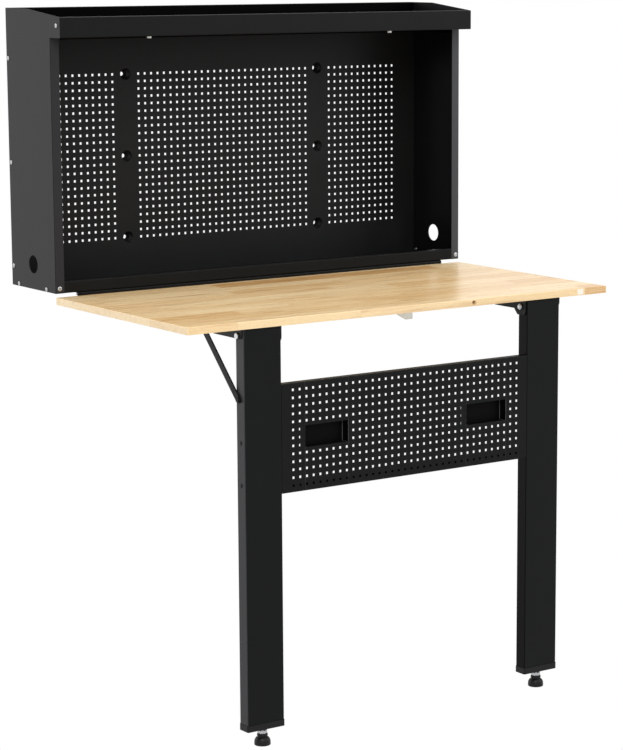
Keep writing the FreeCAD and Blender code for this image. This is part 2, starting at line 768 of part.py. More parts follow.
def make_pivot_bolts():
    """Hexagon bolts through the bracket ears and the legs, heads outboard."""
    body = new_body("pivot_bolts")
    face = "ear_outer + bracket_sheet"
    for side in (-1, 1):
        head = span(side, face, f"{face} + pivot_head_height")
        shank = span(side, "ear_inner - bracket_sheet - pivot_nut_height", face)
        pad(body, "x", *head, draw_hexagon, "pivot_y", "pivot_z", "pivot_head_flats")
        pad(body, "x", *shank, draw_circle, "pivot_y", "pivot_z", "pivot_radius")
    return body


def make_pivot_nuts():
    body = new_body("pivot_nuts")
    face = "ear_inner - bracket_sheet"
    for side in (-1, 1):
        nut = span(side, f"{face} - pivot_nut_height", face)
        pad(body, "x", *nut, draw_hexagon, "pivot_y", "pivot_z", "pivot_head_flats")
        cut(body, "x", *nut, draw_circle, "pivot_y", "pivot_z", "pivot_radius")
    return body


# ---------------------------------------------------------------------------------------------
# Leg frame
# ---------------------------------------------------------------------------------------------
def make_leg(label, side):
    """Flat rectangular tube, sloped behind its head, with the pivot hole through both narrow walls."""
    body = new_body(label)
    faces = span(side, "leg_inner", "leg_outer")
    bore = span(side, "leg_inner + leg_wall", "leg_outer - leg_wall")
    ends = ("leg_bottom", "leg_top")
    pad(body, "z", *ends, draw_rectangle, *faces, "leg_front", "leg_rear")
    corners = [straight_along("z", x=x, y=y) for x in faces for y in ("leg_front", "leg_rear")]
    round_edges(body, "leg_corner", *corners)
    depth = ("leg_front + leg_wall", "leg_rear - leg_wall")
    cut(body, "z", *ends, draw_rectangle, *bore, *depth)
    slope = [
        ("leg_rear", "leg_top - leg_head_slope"),
        ("leg_rear", "leg_top"),
        ("leg_rear - leg_head_slope", "leg_top"),
    ]
    cut(body, "x", *faces, draw_polygon, slope)
    cut(body, "x", *faces, draw_circle, "pivot_y", "pivot_z", "pivot_radius + running_gap")
    return body


def make_leg_cap(label, side):
    """Moulded cap: skirt round the tube, floor and the plug that takes the levelling stud."""
    body = new_body(label)
    outside = span(side, "leg_inner - cap_wall", "leg_outer + cap_wall")
    outer_y = ("leg_front - cap_wall", "leg_rear + cap_wall")
    tube = span(side, "leg_inner", "leg_outer")
    tube_y = ("leg_front", "leg_rear")
    rim = "cap_bottom + cap_height"
    pad(body, "z", "cap_bottom", rim, draw_rectangle, *outside, *outer_y)
    cut(body, "z", "leg_bottom", rim, draw_rectangle, *tube, *tube_y)
    inner_corners = [straight_along("z", x=x, y=y) for x in tube for y in tube_y]
    outer_corners = [straight_along("z", x=x, y=y) for x in outside for y in outer_y]
    round_edges(body, "leg_corner", *inner_corners)
    round_edges(body, "leg_corner + cap_wall", *outer_corners)
    ends = ("cap_bottom", "leg_bottom + cap_plug_height")
    bore = span(side, "leg_inner + leg_wall", "leg_outer - leg_wall")
    bore_y = ("leg_front + leg_wall", "leg_rear - leg_wall")
    pad(body, "z", *ends, draw_rectangle, *bore, *bore_y)
    thread = (f"{side} * leg_x", "leg_middle", "stud_radius + running_gap")
    cut(body, "z", *ends, draw_circle, *thread)
    return body


def make_lower_panel():
    """Panel between the legs: folded rims, a lip behind the lower edge and two grip openings."""
    body = new_body("lower_panel")
    across = ("-leg_inner", "leg_inner")
    inside = ("panel_sheet - leg_inner", "leg_inner - panel_sheet")
    up = ("panel_bottom", "panel_top")
    inside_up = ("panel_bottom + panel_sheet", "panel_top - panel_sheet")
    face = ("panel_front", "panel_front + panel_sheet")
    lip = ("panel_rear - panel_sheet", "panel_rear")
    pad(body, "y", "panel_front", "panel_rear", draw_rectangle, *across, *up)
    cut(body, "y", "panel_front + panel_sheet", "panel_rear", draw_rectangle, *inside, *inside_up)
    pad(body, "y", *lip, draw_rectangle, *across, "panel_bottom", "panel_bottom + panel_lip")
    for side in (-1, 1):
        cut(body, "y", *face, draw_rectangle, *grip_mouth(side), *grip_heights())
    lower = straight_along("x", y="panel_front", z="panel_bottom")
    upper = straight_along("x", y="panel_front", z="panel_top")
    round_edges(body, "bend_radius", lower, upper)
    return body


def grip_mouth(side):
    middle = f"{side} * grip_x"
    return (f"{middle} - grip_width / 2", f"{middle} + grip_width / 2")


def grip_heights():
    return ("panel_centre_z - grip_height / 2", "panel_centre_z + grip_height / 2")


def make_grip_pan(label, side):
    """Pressed pan behind a grip opening, with a wing on each side behind the panel."""
    body = new_body(label)
    seat = "panel_front + panel_sheet"
    mouth = grip_mouth(side)
    up = grip_heights()
    outer_up = (f"{up[0]} - panel_sheet", f"{up[1]} + panel_sheet")
    box = (f"{mouth[0]} - panel_sheet", f"{mouth[1]} + panel_sheet")
    wings = (f"{mouth[0]} - grip_wing", f"{mouth[1]} + grip_wing")
    pad(body, "y", seat, f"{seat} + panel_sheet", draw_rectangle, *wings, *outer_up)
    pad(body, "y", seat, "panel_rear", draw_rectangle, *box, *outer_up)
    cut(body, "y", seat, "panel_rear - panel_sheet", draw_rectangle, *mouth, *up)
    rims = [straight_along("z", x=x, y="panel_rear") for x in box]
    rims += [straight_along("x", z=z, y="panel_rear") for z in outer_up]
    round_edges(body, "bend_radius", *rims)
    return body


def make_stay_rivets():
    """Rivets on the legs' outer walls, where the stays turn."""
    body = new_body("stay_rivets")
    head = "stay_outer + pin_head_height"
    for side in (-1, 1):
        steps = [
            ("stay_pin_radius", "leg_outer", "stay_outer"),
            ("pin_head_radius", "stay_outer", head),
        ]
        turned = [(radius, *(f"{side} * ({end})" for end in ends)) for radius, *ends in steps]
        turn(body, "x", "pivot_y", "stay_low_z", stepped(*turned))
    return body


# ---------------------------------------------------------------------------------------------
# Folding stays
# ---------------------------------------------------------------------------------------------
def make_stay(label, side):
    """Flat bar with rounded ends, drawn level from its lower pin and then turned up by 45 degrees."""
    body = new_body(label)
    bar = span(side, "stay_inner", "stay_outer")
    half = "stay_width / 2"
    pad(body, "x", *bar, draw_rectangle, "0", "stay_length", minus(half), half)
    pad(body, "x", *bar, draw_circle, "0", "0", half)
    pad(body, "x", *bar, draw_circle, "stay_length", "0", half)
    cut(body, "x", *bar, draw_circle, "0", "0", "stay_pin_radius + running_gap")
    body.Placement = FreeCAD.Placement(Vector(), FreeCAD.Rotation(Vector(1, 0, 0), 45))
    body.setExpression("Placement.Base.y", link("pivot_y"))
    body.setExpression("Placement.Base.z", link("stay_low_z"))
    doc.recompute()
    return body


def make_stay_pin(label, side):
    """Upper pin, welded to the stay's outer face; its free end is led by the rail's slot."""
    body = new_body(label)
    ends = span(side, "stay_outer", "rail_inner - open_gap")
    pad(body, "x", *ends, draw_circle, "stay_high_y", "pivot_z", "stay_pin_radius")
    return body


# ---------------------------------------------------------------------------------------------
# Levelling feet
# ---------------------------------------------------------------------------------------------
def make_foot_pad(label, side):
    """Foot: a wide base and a narrower neck that carries the stud."""
    body = new_body(label)
    shoulder = "floor_z + foot_rim"
    top = "floor_z + foot_height"
    base = ("foot_radius", "floor_z", shoulder)
    neck = ("foot_neck_radius", shoulder, top)
    turn(body, "z", f"{side} * leg_x", "leg_middle", stepped(base, neck))
    return body


def make_foot_stud(label, side):
    body = new_body(label)
    ends = ("floor_z + foot_height", "cap_bottom + stud_engagement")
    pad(body, "z", *ends, draw_circle, f"{side} * leg_x", "leg_middle", "stud_radius")
    return body


def make_foot_nut(label, side):
    """Lock nut resting on the foot's neck."""
    body = new_body(label)
    low = "floor_z + foot_height"
    ends = (low, f"{low} + foot_nut_height")
    middle = f"{side} * leg_x"
    pad(body, "z", *ends, draw_hexagon, middle, "leg_middle", "foot_nut_flats")
    cut(body, "z", *ends, draw_circle, middle, "leg_middle", "stud_radius")
    return body


# ---------------------------------------------------------------------------------------------
# Assembly
# ---------------------------------------------------------------------------------------------
def make_pair(make, stem):
    return [make(f"{stem}_left", -1), make(f"{stem}_right", 1)]


pieces = [
    *make_pair(make_side, "side"),
    make_back_panel(),
    make_bottom_panel(),
    make_tray_floor(),
    make_fascia(),
    make_catch_magnets(),
    make_hinge_leaf(
        "hinge_cabinet_leaf",
        "hinge_pin_radius",
        0,
        ("hinge_y + knuckle_clear", "hinge_y + leaf_width", "leaf_low_z", "cabinet_bottom"),
        ("hinge_y", "hinge_y + knuckle_clear", "leaf_low_z", "cabinet_bottom"),
    ),
    make_hinge_pin(),
    make_board(),
    make_hinge_leaf(
        "hinge_worktop_leaf",
        "hinge_pin_radius + running_gap",
        1,
        ("board_rear", "board_rear + leaf_thickness", "board_under", "hinge_z - knuckle_clear"),
        ("board_rear", "board_rear + leaf_thickness", "hinge_z - knuckle_clear", "hinge_z"),
    ),
    make_strike_plate(),
    make_latch_tab(),
    *make_pair(make_leg_bracket, "leg_bracket"),
    *make_pair(make_stay_rail, "stay_rail"),
    make_pivot_bolts(),
    make_pivot_nuts(),
    *make_pair(make_leg, "leg"),
    *make_pair(make_leg_cap, "leg_cap"),
    make_lower_panel(),
    *make_pair(make_grip_pan, "grip_pan"),
    make_stay_rivets(),
    *make_pair(make_stay, "stay"),
    *make_pair(make_stay_pin, "stay_pin"),
    *make_pair(make_foot_pad, "foot_pad"),
    *make_pair(make_foot_stud, "foot_stud"),
    *make_pair(make_foot_nut, "foot_nut"),
]
doc.recompute()

for item in doc.Objects:
    if "Invalid" in item.State or "Error" in item.State:
        raise ValueError(f"{item.Label} is {item.State}")
for piece in pieces:
    if piece.Shape.isNull() or not piece.Shape.isValid():
        raise ValueError(f"{piece.Label} has no valid shape")

os.makedirs("parts", exist_ok=True)
for piece in pieces:
    piece.Shape.exportStep(f"parts/{piece.Label}.step")
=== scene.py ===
"""Looks of a wall mounted folding workbench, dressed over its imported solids.

Lengths are millimetres, in the part's own frame: +X to the right, +Y into the wall, +Z up, with the
origin in the middle of the wall screws. They turn into metres only where a mesh is made.
"""
import json
import math

import bpy
import numpy as np
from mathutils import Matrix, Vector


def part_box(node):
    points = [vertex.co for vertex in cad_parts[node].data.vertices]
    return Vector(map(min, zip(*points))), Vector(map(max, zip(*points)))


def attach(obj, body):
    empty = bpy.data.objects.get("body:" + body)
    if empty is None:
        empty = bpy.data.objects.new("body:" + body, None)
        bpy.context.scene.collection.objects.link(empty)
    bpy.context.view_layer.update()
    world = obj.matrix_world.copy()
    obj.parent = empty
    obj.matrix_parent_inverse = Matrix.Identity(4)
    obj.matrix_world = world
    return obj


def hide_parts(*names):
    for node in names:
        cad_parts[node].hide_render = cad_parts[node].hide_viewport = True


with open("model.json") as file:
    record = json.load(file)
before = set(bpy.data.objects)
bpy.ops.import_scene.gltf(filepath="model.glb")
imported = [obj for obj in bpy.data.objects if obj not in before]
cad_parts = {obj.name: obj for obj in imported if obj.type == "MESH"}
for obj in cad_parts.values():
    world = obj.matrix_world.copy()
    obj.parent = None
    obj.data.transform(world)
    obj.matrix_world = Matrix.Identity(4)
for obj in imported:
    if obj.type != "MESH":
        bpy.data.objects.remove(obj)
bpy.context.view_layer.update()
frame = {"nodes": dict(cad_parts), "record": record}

MM = 0.001


def extent(node):
    """Lowest and highest corner of a solid, in millimetres."""
    low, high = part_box(node)
    return np.array(low) / MM, np.array(high) / MM


# ---------------------------------------------------------------------------------------------
# Places read from the solids, and sizes of what the solids leave out
# ---------------------------------------------------------------------------------------------
BACK_LOW, BACK_HIGH = extent("back_panel")
PANEL_LOW, PANEL_HIGH = extent("lower_panel")
GRIP_LOW, GRIP_HIGH = extent("grip_pan_right")
PIN_LOW, PIN_HIGH = extent("hinge_pin")
CABINET_LEAF_HIGH = extent("hinge_cabinet_leaf")[1]
BOARD_LEAF_LOW = extent("hinge_worktop_leaf")[0]
SIDE_FACE = extent("side_right")[1][0]
CABINET_FRONT = extent("bottom_panel")[0][1]
BOARD_LOW, BOARD_HIGH = extent("worktop_board")
LEG_LOW, LEG_HIGH = extent("leg_right")
FOOT_LOW, FOOT_HIGH = extent("foot_pad_right")
STUD_LOW, STUD_HIGH = extent("foot_stud_right")
FOOT_NUT_LOW, FOOT_NUT_HIGH = extent("foot_nut_right")
LATCH_LOW, LATCH_HIGH = extent("latch_tab")
NUTS_END = extent("pivot_nuts")[1][0]
BOLTS_LOW, BOLTS_HIGH = extent("pivot_bolts")

# Sheet steel: its thickness, its folds' outer radius and its square holes.
SHEET = 1.2
BEND = 2.0
HOLE_PITCH = 16.0
HOLE_HALF = 2.5
# Lower panel: half the size of a grip opening, the pan's bend from the opening's end, the lip.
GRIP_HALF = np.array([52.0, 22.0])
GRIP_X = (GRIP_LOW[0] + GRIP_HIGH[0]) / 2
GRIP_BEND = 3.5
PANEL_LIP = 18.0
# Dishes of the back panel: their places and half the square that each one takes from the sheet.
DISH_X = 248.0
DISH_Z = 176.0
DISH_FIELD = 19.5
# Underside of the tray floor's level, above which the back panel stands inside the tray.
TRAY_LEVEL = 264.0
KNUCKLE_PITCH = 12.5
KNUCKLE_GAP = 0.4
KNUCKLE_RADIUS = 3.2
KNUCKLE_CLEAR = 0.15
PIN_RADIUS = 1.5
LEG_MIDDLE = (LEG_LOW[0] + LEG_HIGH[0]) / 2
LEG_Y = (LEG_LOW[1] + LEG_HIGH[1]) / 2
LEG_WALL = 1.5
# Plug in a leg's upper end: its reach from the front wall and its height.
HEAD_PLUG = (20.0, 3.0)
PIVOT = (BOLTS_LOW + BOLTS_HIGH) / 2
PIVOT_FLATS = BOLTS_HIGH[1] - BOLTS_LOW[1]
PIVOT_HEAD = 4.0
PIVOT_NUT = 6.0
# A finish that belongs to one face reaches this far behind it.
SKIN = 1.0
SIDES = (-1, 1)
# Smooth pieces keep an edge where their faces turn by more than this.
SHARP_DEGREES = 35


# ---------------------------------------------------------------------------------------------
# Meshes. A shell is (points in mm, face arrays); each face array has one row of corners a face.
# ---------------------------------------------------------------------------------------------
def add_piece(name, shells, body, material, replaces=(), smooth=False):
    """One object from several shells, riding on a body."""
    points = []
    faces = []
    start = 0
    for corners, rows in shells:
        points.append(corners)
        for kind in rows:
            faces += (kind + start).tolist()
        start += len(corners)
    mesh = bpy.data.meshes.new(name)
    mesh.from_pydata((np.concatenate(points) * MM).tolist(), [], faces)
    mesh.polygons.foreach_set("use_smooth", np.full(len(faces), smooth))
    if smooth:
        mesh.set_sharp_from_angle(angle=math.radians(SHARP_DEGREES))
    mesh.materials.append(material)
    piece = bpy.data.objects.new(name, mesh)
    bpy.context.scene.collection.objects.link(piece)
    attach(piece, body)
    if replaces:
        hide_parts(*replaces)
    return piece


def cell_shell(lines, filled):
    """Closed surface of the filled cells of a block cut by planes at lines = (xs, ys, zs).

    A face stands wherever a filled cell meets an empty one, turned towards the empty one.
    """
    sizes = [len(axis) for axis in lines]
    points = np.stack(np.meshgrid(*lines, indexing="ij"), axis=-1).reshape(-1, 3)
    padded = np.pad(filled, 1)
    faces = []
    for axis in range(3):
        inner = tuple(slice(None) if other == axis else slice(1, -1) for other in range(3))
        before = np.take(padded, range(sizes[axis]), axis)[inner]
        after = np.take(padded, range(1, sizes[axis] + 1), axis)[inner]
        across, along = [other for other in range(3) if other != axis]
        for chosen, forward in ((before & ~after, True), (after & ~before, False)):
            place = np.argwhere(chosen)
            corners = []
            for step_across, step_along in ((0, 0), (1, 0), (1, 1), (0, 1)):
                corner = place.copy()
                corner[:, across] += step_across
                corner[:, along] += step_along
                corners.append(np.ravel_multi_index(corner.T, sizes))
            order = corners if forward == (axis != 1) else corners[::-1]
            faces.append(np.stack(order, axis=1))
    faces = np.concatenate(faces)
    used, renumbered = np.unique(faces, return_inverse=True)
    return points[used], [renumbered.reshape(faces.shape)]


def round_fold(shell, first, second, radius=BEND):
    """Bend the square edge of two outer faces, each (axis, face, inwards), into a fold.

    In the edge's square, lines of equal largest distance from the fold's centre become arcs of
    that radius, so the sheet keeps its thickness round the bend.
    """
    points, faces = shell
    offsets = [(face + way * radius - points[:, axis]) * way for axis, face, way in (first, second)]
    inside = np.all([(offset > 0) & (offset <= radius + 1e-6) for offset in offsets], axis=0)
    largest = np.maximum(*offsets)
    length = np.maximum(np.hypot(*offsets), 1e-9)
    bent = points.copy()
    for (axis, face, way), offset in zip((first, second), offsets):
        bent[inside, axis] = (face + way * (radius - offset * largest / length))[inside]
    return bent, faces


def fold_lines(face, way):
    """Planes through a fold, from its outer face inwards."""
    return face + way * np.array([0, 0.4, 0.8, SHEET, 1.6, BEND])


def strip_quads(rings, around):
    """Quads between neighbouring rings of points that close on themselves."""
    ring, spoke = np.meshgrid(np.arange(rings - 1) * around, np.arange(around), indexing="ij")
    after = (spoke + 1) % around
    corners = [ring + spoke, ring + after, ring + around + after, ring + around + spoke]
    return np.stack(corners, axis=-1).reshape(-1, 4)


def loop_quads(rings, around):
    """The same, with the last ring joined to the first, as round a tube's section."""
    joint = strip_quads(2, around)
    last = (rings - 1) * around
    joint = np.where(joint < around, joint + last, joint - around)
    return np.concatenate([strip_quads(rings, around), joint])


# For each axis of turning: the two axes across it, in right handed order.
ACROSS = {0: (1, 2), 1: (2, 0), 2: (0, 1)}


def turned(profile, centre, axis, around=32, shape=None):
    """Turn (radius, height) steps round an axis; rings follow one another up the outside.

    A first or last radius of 0 closes the shell with a fan of triangles. shape gives the factor
    on the radius for each angle, such as a hexagon's.
    """
    profile = np.array(profile, float)
    angle = np.arange(around) * math.tau / around
    factor = np.ones(around) if shape is None else shape(angle)
    rings = profile[profile[:, 0] > 0]
    first, second = ACROSS[axis]
    points = np.zeros((len(rings), around, 3))
    points[..., first] = rings[:, :1] * np.cos(angle) * factor
    points[..., second] = rings[:, :1] * np.sin(angle) * factor
    points[..., axis] = rings[:, 1:]
    points = points.reshape(-1, 3)
    faces = [strip_quads(len(rings), around)]
    spoke = np.arange(around)
    after = (spoke + 1) % around
    for end, start in ((0, 0), (-1, (len(rings) - 1) * around)):
        if profile[end, 0] == 0:
            pole = np.zeros((1, 3))
            pole[0, axis] = profile[end, 1]
            tip = np.full(around, len(points))
            pair = (after, spoke) if end == 0 else (spoke, after)
            faces.append(np.stack([tip, pair[0] + start, pair[1] + start], axis=1))
            points = np.concatenate([points, pole])
    return points + centre, faces


def ring_of(profile, centre, axis, around=32):
    """Turn a profile that closes on itself, such as a tube's or a washer's section."""
    points, _ = turned(profile, centre, axis, around)
    return points, [loop_quads(len(profile), around)]


def mirrored(shell):
    """The same shell on the other side of the middle plane, still turned outwards."""
    points, faces = shell
    return points * (-1, 1, 1), [kind[:, ::-1] for kind in faces]


def hexagon(angle):
    """Radius factor of a hexagon whose flats lie at distance 1."""
    return 1 / np.cos((angle + math.pi / 6) % (math.pi / 3) - math.pi / 6)


# ---------------------------------------------------------------------------------------------
# Finishes
# ---------------------------------------------------------------------------------------------
def rgb(text):
    """sRGB hex to linear."""
    parts = [int(text[place:place + 2], 16) / 255 for place in (0, 2, 4)]
    linear = [part / 12.92 if part <= 0.04045 else ((part + 0.055) / 1.055) ** 2.4 for part in parts]
    return (*linear, 1)


def add_node(tree, kind, inputs=(), **settings):
    """Add a node with its settings; inputs are values, or sockets to link, by order or by name.

    A Mix of colours takes its share at 0 and its colours at 6 and 7, and gives its result at 2.
    A Mix of numbers takes its share at 0 and its numbers at 2 and 3, and gives its result at 0.
    """
    node = tree.nodes.new("ShaderNode" + kind)
    for setting, choice in settings.items():
        setattr(node, setting, choice)
    for place, source in inputs.items() if isinstance(inputs, dict) else enumerate(inputs):
        if isinstance(source, bpy.types.NodeSocket):
            tree.links.new(source, node.inputs[place])
        elif source is not None:
            node.inputs[place].default_value = source
    return node


def start_finish(name):
    """A material with its tree, its shader and Object coordinates."""
    material = bpy.data.materials.new(name)
    material.use_nodes = True
    tree = material.node_tree
    shader = tree.nodes["Principled BSDF"]
    place = add_node(tree, "TexCoord").outputs["Object"]
    return material, tree, shader, place


def edge_normal(tree, shader, height, depth, radius):
    """Fine relief on a normal that the edges' small rounding has turned first."""
    rounded = add_node(tree, "Bevel", [radius * MM], samples=6)
    bump = add_node(tree, "Bump", {"Distance": depth * MM, "Height": height, "Normal": rounded.outputs[0]})
    tree.links.new(bump.outputs[0], shader.inputs["Normal"])


def banded(tree, place, colour, gloss, bands):
    """Bands across one axis with their own tone and gloss: paler bands are painted light and
    highlights, darker and duller ones painted shade.

    Each band is (axis, middle, reach in mm, tone at the left end, tone at the right end, gloss).
    The gloss stays a plain number where every band has the coat's own.
    """
    axes = add_node(tree, "SeparateXYZ", [place]).outputs
    half = SIDE_FACE * MM
    along = add_node(tree, "MapRange", [axes["X"], -half, half, 0.0, 1.0]).outputs[0]
    varies = any(band[-1] != gloss for band in bands)
    for axis, middle, reach, left, right, level in bands:
        limits = [axes[axis], middle * MM, reach * MM]
        inside = add_node(tree, "Math", limits, operation="COMPARE").outputs[0]
        tone = rgb(left)
        if right != left:
            ends = {0: along, 6: rgb(left), 7: rgb(right)}
            tone = add_node(tree, "Mix", ends, data_type="RGBA").outputs[2]
        colour = add_node(tree, "Mix", {0: inside, 6: colour, 7: tone}, data_type="RGBA").outputs[2]
        if varies:
            gloss = add_node(tree, "Mix", {0: inside, 2: gloss, 3: level}).outputs[0]
    return colour, gloss


def powder_coat(name, tone, light_tone, roughness, gloss, bands=()):
    """Baked polyester powder on steel: satin, with a fine orange peel that softens reflections.

    The peel is about 1 mm across on the real coat and is drawn at 2 mm so that it shows. The
    tone drifts over some 70 mm, as the thickness of the coat does.
    """
    material, tree, shader, place = start_finish(name)
    cloud = add_node(tree, "TexNoise", {"Vector": place, "Scale": 1 / (70 * MM), "Detail": 3.0})
    drift = {0: cloud.outputs["Fac"], 6: rgb(tone), 7: rgb(light_tone)}
    colour = add_node(tree, "Mix", drift, data_type="RGBA").outputs[2]
    shader.inputs["Specular IOR Level"].default_value = gloss
    if bands:
        colour, level = banded(tree, place, colour, gloss, bands)
        if isinstance(level, bpy.types.NodeSocket):
            tree.links.new(level, shader.inputs["Specular IOR Level"])
    tree.links.new(colour, shader.inputs["Base Color"])
    peel = add_node(tree, "TexNoise", {"Vector": place, "Scale": 1 / (2 * MM), "Detail": 2.0})
    limits = [peel.outputs["Fac"], 0.3, 0.7, roughness - 0.04, roughness + 0.04]
    rough = add_node(tree, "MapRange", limits).outputs[0]
    tree.links.new(rough, shader.inputs["Roughness"])
    edge_normal(tree, shader, peel.outputs["Fac"], 0.035, 0.7)
    return material


def plated_steel(name, tone, light_tone, roughness, streak=(1, 1, 1)):
    """Bright plating on turned or pressed steel: metal with soft clouds 3 mm across from the bath.

    streak shrinks the pattern's scale on an axis, as drawing does along a pin.
    """
    material, tree, shader, place = start_finish(name)
    along = add_node(tree, "Mapping", {"Vector": place, "Scale": streak}).outputs[0]
    cloud = add_node(tree, "TexNoise", {"Vector": along, "Scale": 1 / (3 * MM), "Detail": 4.0})
    tones = {0: cloud.outputs["Fac"], 6: rgb(tone), 7: rgb(light_tone)}
    mix = add_node(tree, "Mix", tones, data_type="RGBA")
    tree.links.new(mix.outputs[2], shader.inputs["Base Color"])
    limits = [cloud.outputs["Fac"], 0.3, 0.7, roughness - 0.06, roughness + 0.08]
    rough = add_node(tree, "MapRange", limits)
    tree.links.new(rough.outputs[0], shader.inputs["Roughness"])
    shader.inputs["Metallic"].default_value = 1.0
    edge_normal(tree, shader, cloud.outputs["Fac"], 0.01, 0.25)
    return material


def moulded_plastic(name, tone, roughness):
    """Injection moulded polypropylene: matt with a spark eroded grain of about 0.6 mm."""
    material, tree, shader, place = start_finish(name)
    grain = add_node(tree, "TexNoise", {"Vector": place, "Scale": 1 / (0.6 * MM), "Detail": 2.0})
    tones = {0: grain.outputs["Fac"], 6: rgb(tone), 7: rgb("121212")}
    mix = add_node(tree, "Mix", tones, data_type="RGBA")
    tree.links.new(mix.outputs[2], shader.inputs["Base Color"])
    limits = [grain.outputs["Fac"], 0.3, 0.7, roughness - 0.05, roughness + 0.05]
    rough = add_node(tree, "MapRange", limits)
    tree.links.new(rough.outputs[0], shader.inputs["Roughness"])
    shader.inputs["Specular IOR Level"].default_value = 0.2
    edge_normal(tree, shader, grain.outputs["Fac"], 0.03, 0.4)
    return material


# Staves and their blocks, and the finger joints' width and depth; the draw picks the blocks' tones.
STAVE = 52.0
BLOCK = 290.0
FINGER_WIDTH = 7.0
FINGER_SHARE = 1.5
BLOCK_DRAW = 1.0


def jointed_hardwood(name):
    """Rubberwood staves finger jointed end to end and oiled: blotchy honey tones, fine dark pores.

    Staves run along X, 52 mm wide. Each is cut into blocks about 290 mm long that start at their
    own place, and each block has its own tone and its own piece of grain. The front edge is mixed
    a little towards a paler tone and the ends more so.
    """
    material, tree, shader, place = start_finish(name)
    axes = add_node(tree, "SeparateXYZ", [place]).outputs
    across = add_node(tree, "Math", [axes["Y"], 1 / (STAVE * MM)], operation="MULTIPLY").outputs[0]
    stave = add_node(tree, "Math", [across], operation="FLOOR").outputs[0]
    start = add_node(tree, "TexWhiteNoise", {"W": stave}, noise_dimensions="1D").outputs["Value"]
    blocks = [axes["X"], 1 / (BLOCK * MM), start]
    along = add_node(tree, "Math", blocks, operation="MULTIPLY_ADD").outputs[0]
    fingers = add_node(tree, "Math", [axes["Y"], FINGER_WIDTH * MM], operation="PINGPONG").outputs[0]
    toothed = add_node(tree, "Math", [fingers, FINGER_SHARE, along], operation="MULTIPLY_ADD").outputs[0]
    block = add_node(tree, "Math", [toothed], operation="FLOOR").outputs[0]
    pair = add_node(tree, "CombineXYZ", [stave, block, BLOCK_DRAW]).outputs[0]
    chance = add_node(tree, "TexWhiteNoise", {"Vector": pair}, noise_dimensions="3D")

    tones = add_node(tree, "ValToRGB", [chance.outputs["Value"]])
    ramp = tones.color_ramp
    stops = ((0.0, "c49252"), (0.3, "dcb880"), (0.65, "ebd0a0"), (1.0, "d3a86c"))
    for number, (at, tone) in enumerate(stops):
        stop = ramp.elements[number] if number < 2 else ramp.elements.new(at)
        stop.position = at
        stop.color = rgb(tone)

    jump = [chance.outputs["Color"], (9.0, 5.0, 3.0)]
    shift = add_node(tree, "VectorMath", jump, operation="MULTIPLY").outputs[0]
    own = add_node(tree, "VectorMath", [place, shift], operation="ADD").outputs[0]

    def grain(along_mm, across_mm, detail):
        """Noise stretched along the stave, drawn from the block's own place in the tree."""
        size = (1 / (along_mm * MM), 1 / (across_mm * MM), 1 / (across_mm * MM))
        stretched = add_node(tree, "Mapping", {"Vector": own, "Scale": size})
        settings = {"Vector": stretched.outputs[0], "Scale": 1.0, "Detail": detail}
        return add_node(tree, "TexNoise", settings).outputs["Fac"]

    blotch = grain(190, 12, 2.0)
    heart = add_node(tree, "MapRange", [blotch, 0.50, 0.74, 0.0, 0.62]).outputs[0]
    tone = tones.outputs[0]
    final = add_node(tree, "Mix", {0: heart, 6: tone, 7: rgb("a87238")}, data_type="RGBA").outputs[2]
    rings = grain(70, 2.4, 2.0)
    pale = add_node(tree, "MapRange", [rings, 0.35, 0.65, 0.0, 0.35]).outputs[0]
    final = add_node(tree, "Mix", {0: pale, 6: final, 7: rgb("e8cba2")}, data_type="RGBA").outputs[2]
    pores = grain(9, 0.5, 1.0)
    pitted = add_node(tree, "MapRange", [pores, 0.6, 0.75, 0.0, 0.4]).outputs[0]
    final = add_node(tree, "Mix", {0: pitted, 6: final, 7: rgb("9a6a3c")}, data_type="RGBA").outputs[2]

    in_stave = add_node(tree, "Math", [across], operation="FRACT").outputs[0]
    in_block = add_node(tree, "Math", [toothed], operation="FRACT").outputs[0]
    glued = add_node(tree, "Math", [in_stave, 0.3 / STAVE], operation="LESS_THAN").outputs[0]
    butted = add_node(tree, "Math", [in_block, 0.4 / BLOCK], operation="LESS_THAN").outputs[0]
    seam = add_node(tree, "Math", [glued, butted], operation="MAXIMUM").outputs[0]
    faint = add_node(tree, "Math", [seam, 0.35], operation="MULTIPLY").outputs[0]
    final = add_node(tree, "Mix", {0: faint, 6: final, 7: rgb("8a5c33")}, data_type="RGBA").outputs[2]
    front = add_node(tree, "Math", [axes["Y"], (BOARD_LOW[1] + SKIN) * MM], operation="LESS_THAN").outputs[0]
    reach = add_node(tree, "Math", [axes["X"]], operation="ABSOLUTE").outputs[0]
    end = add_node(tree, "Math", [reach, (BOARD_HIGH[0] - SKIN) * MM], operation="GREATER_THAN").outputs[0]
    # The front face and the end faces are mixed towards paler tones.
    for face, share, tone in ((front, 0.15, "dcc8a8"), (end, 0.55, "f0dab2")):
        paler_share = add_node(tree, "Math", [face, share], operation="MULTIPLY").outputs[0]
        final = add_node(tree, "Mix", {0: paler_share, 6: final, 7: rgb(tone)}, data_type="RGBA").outputs[2]
    tree.links.new(final, shader.inputs["Base Color"])

    gloss = add_node(tree, "MapRange", [rings, 0.3, 0.7, 0.24, 0.34]).outputs[0]
    tree.links.new(gloss, shader.inputs["Roughness"])
    shader.inputs["Specular IOR Level"].default_value = 0.45
    edge_normal(tree, shader, pores, -0.03, 0.3)
    return material
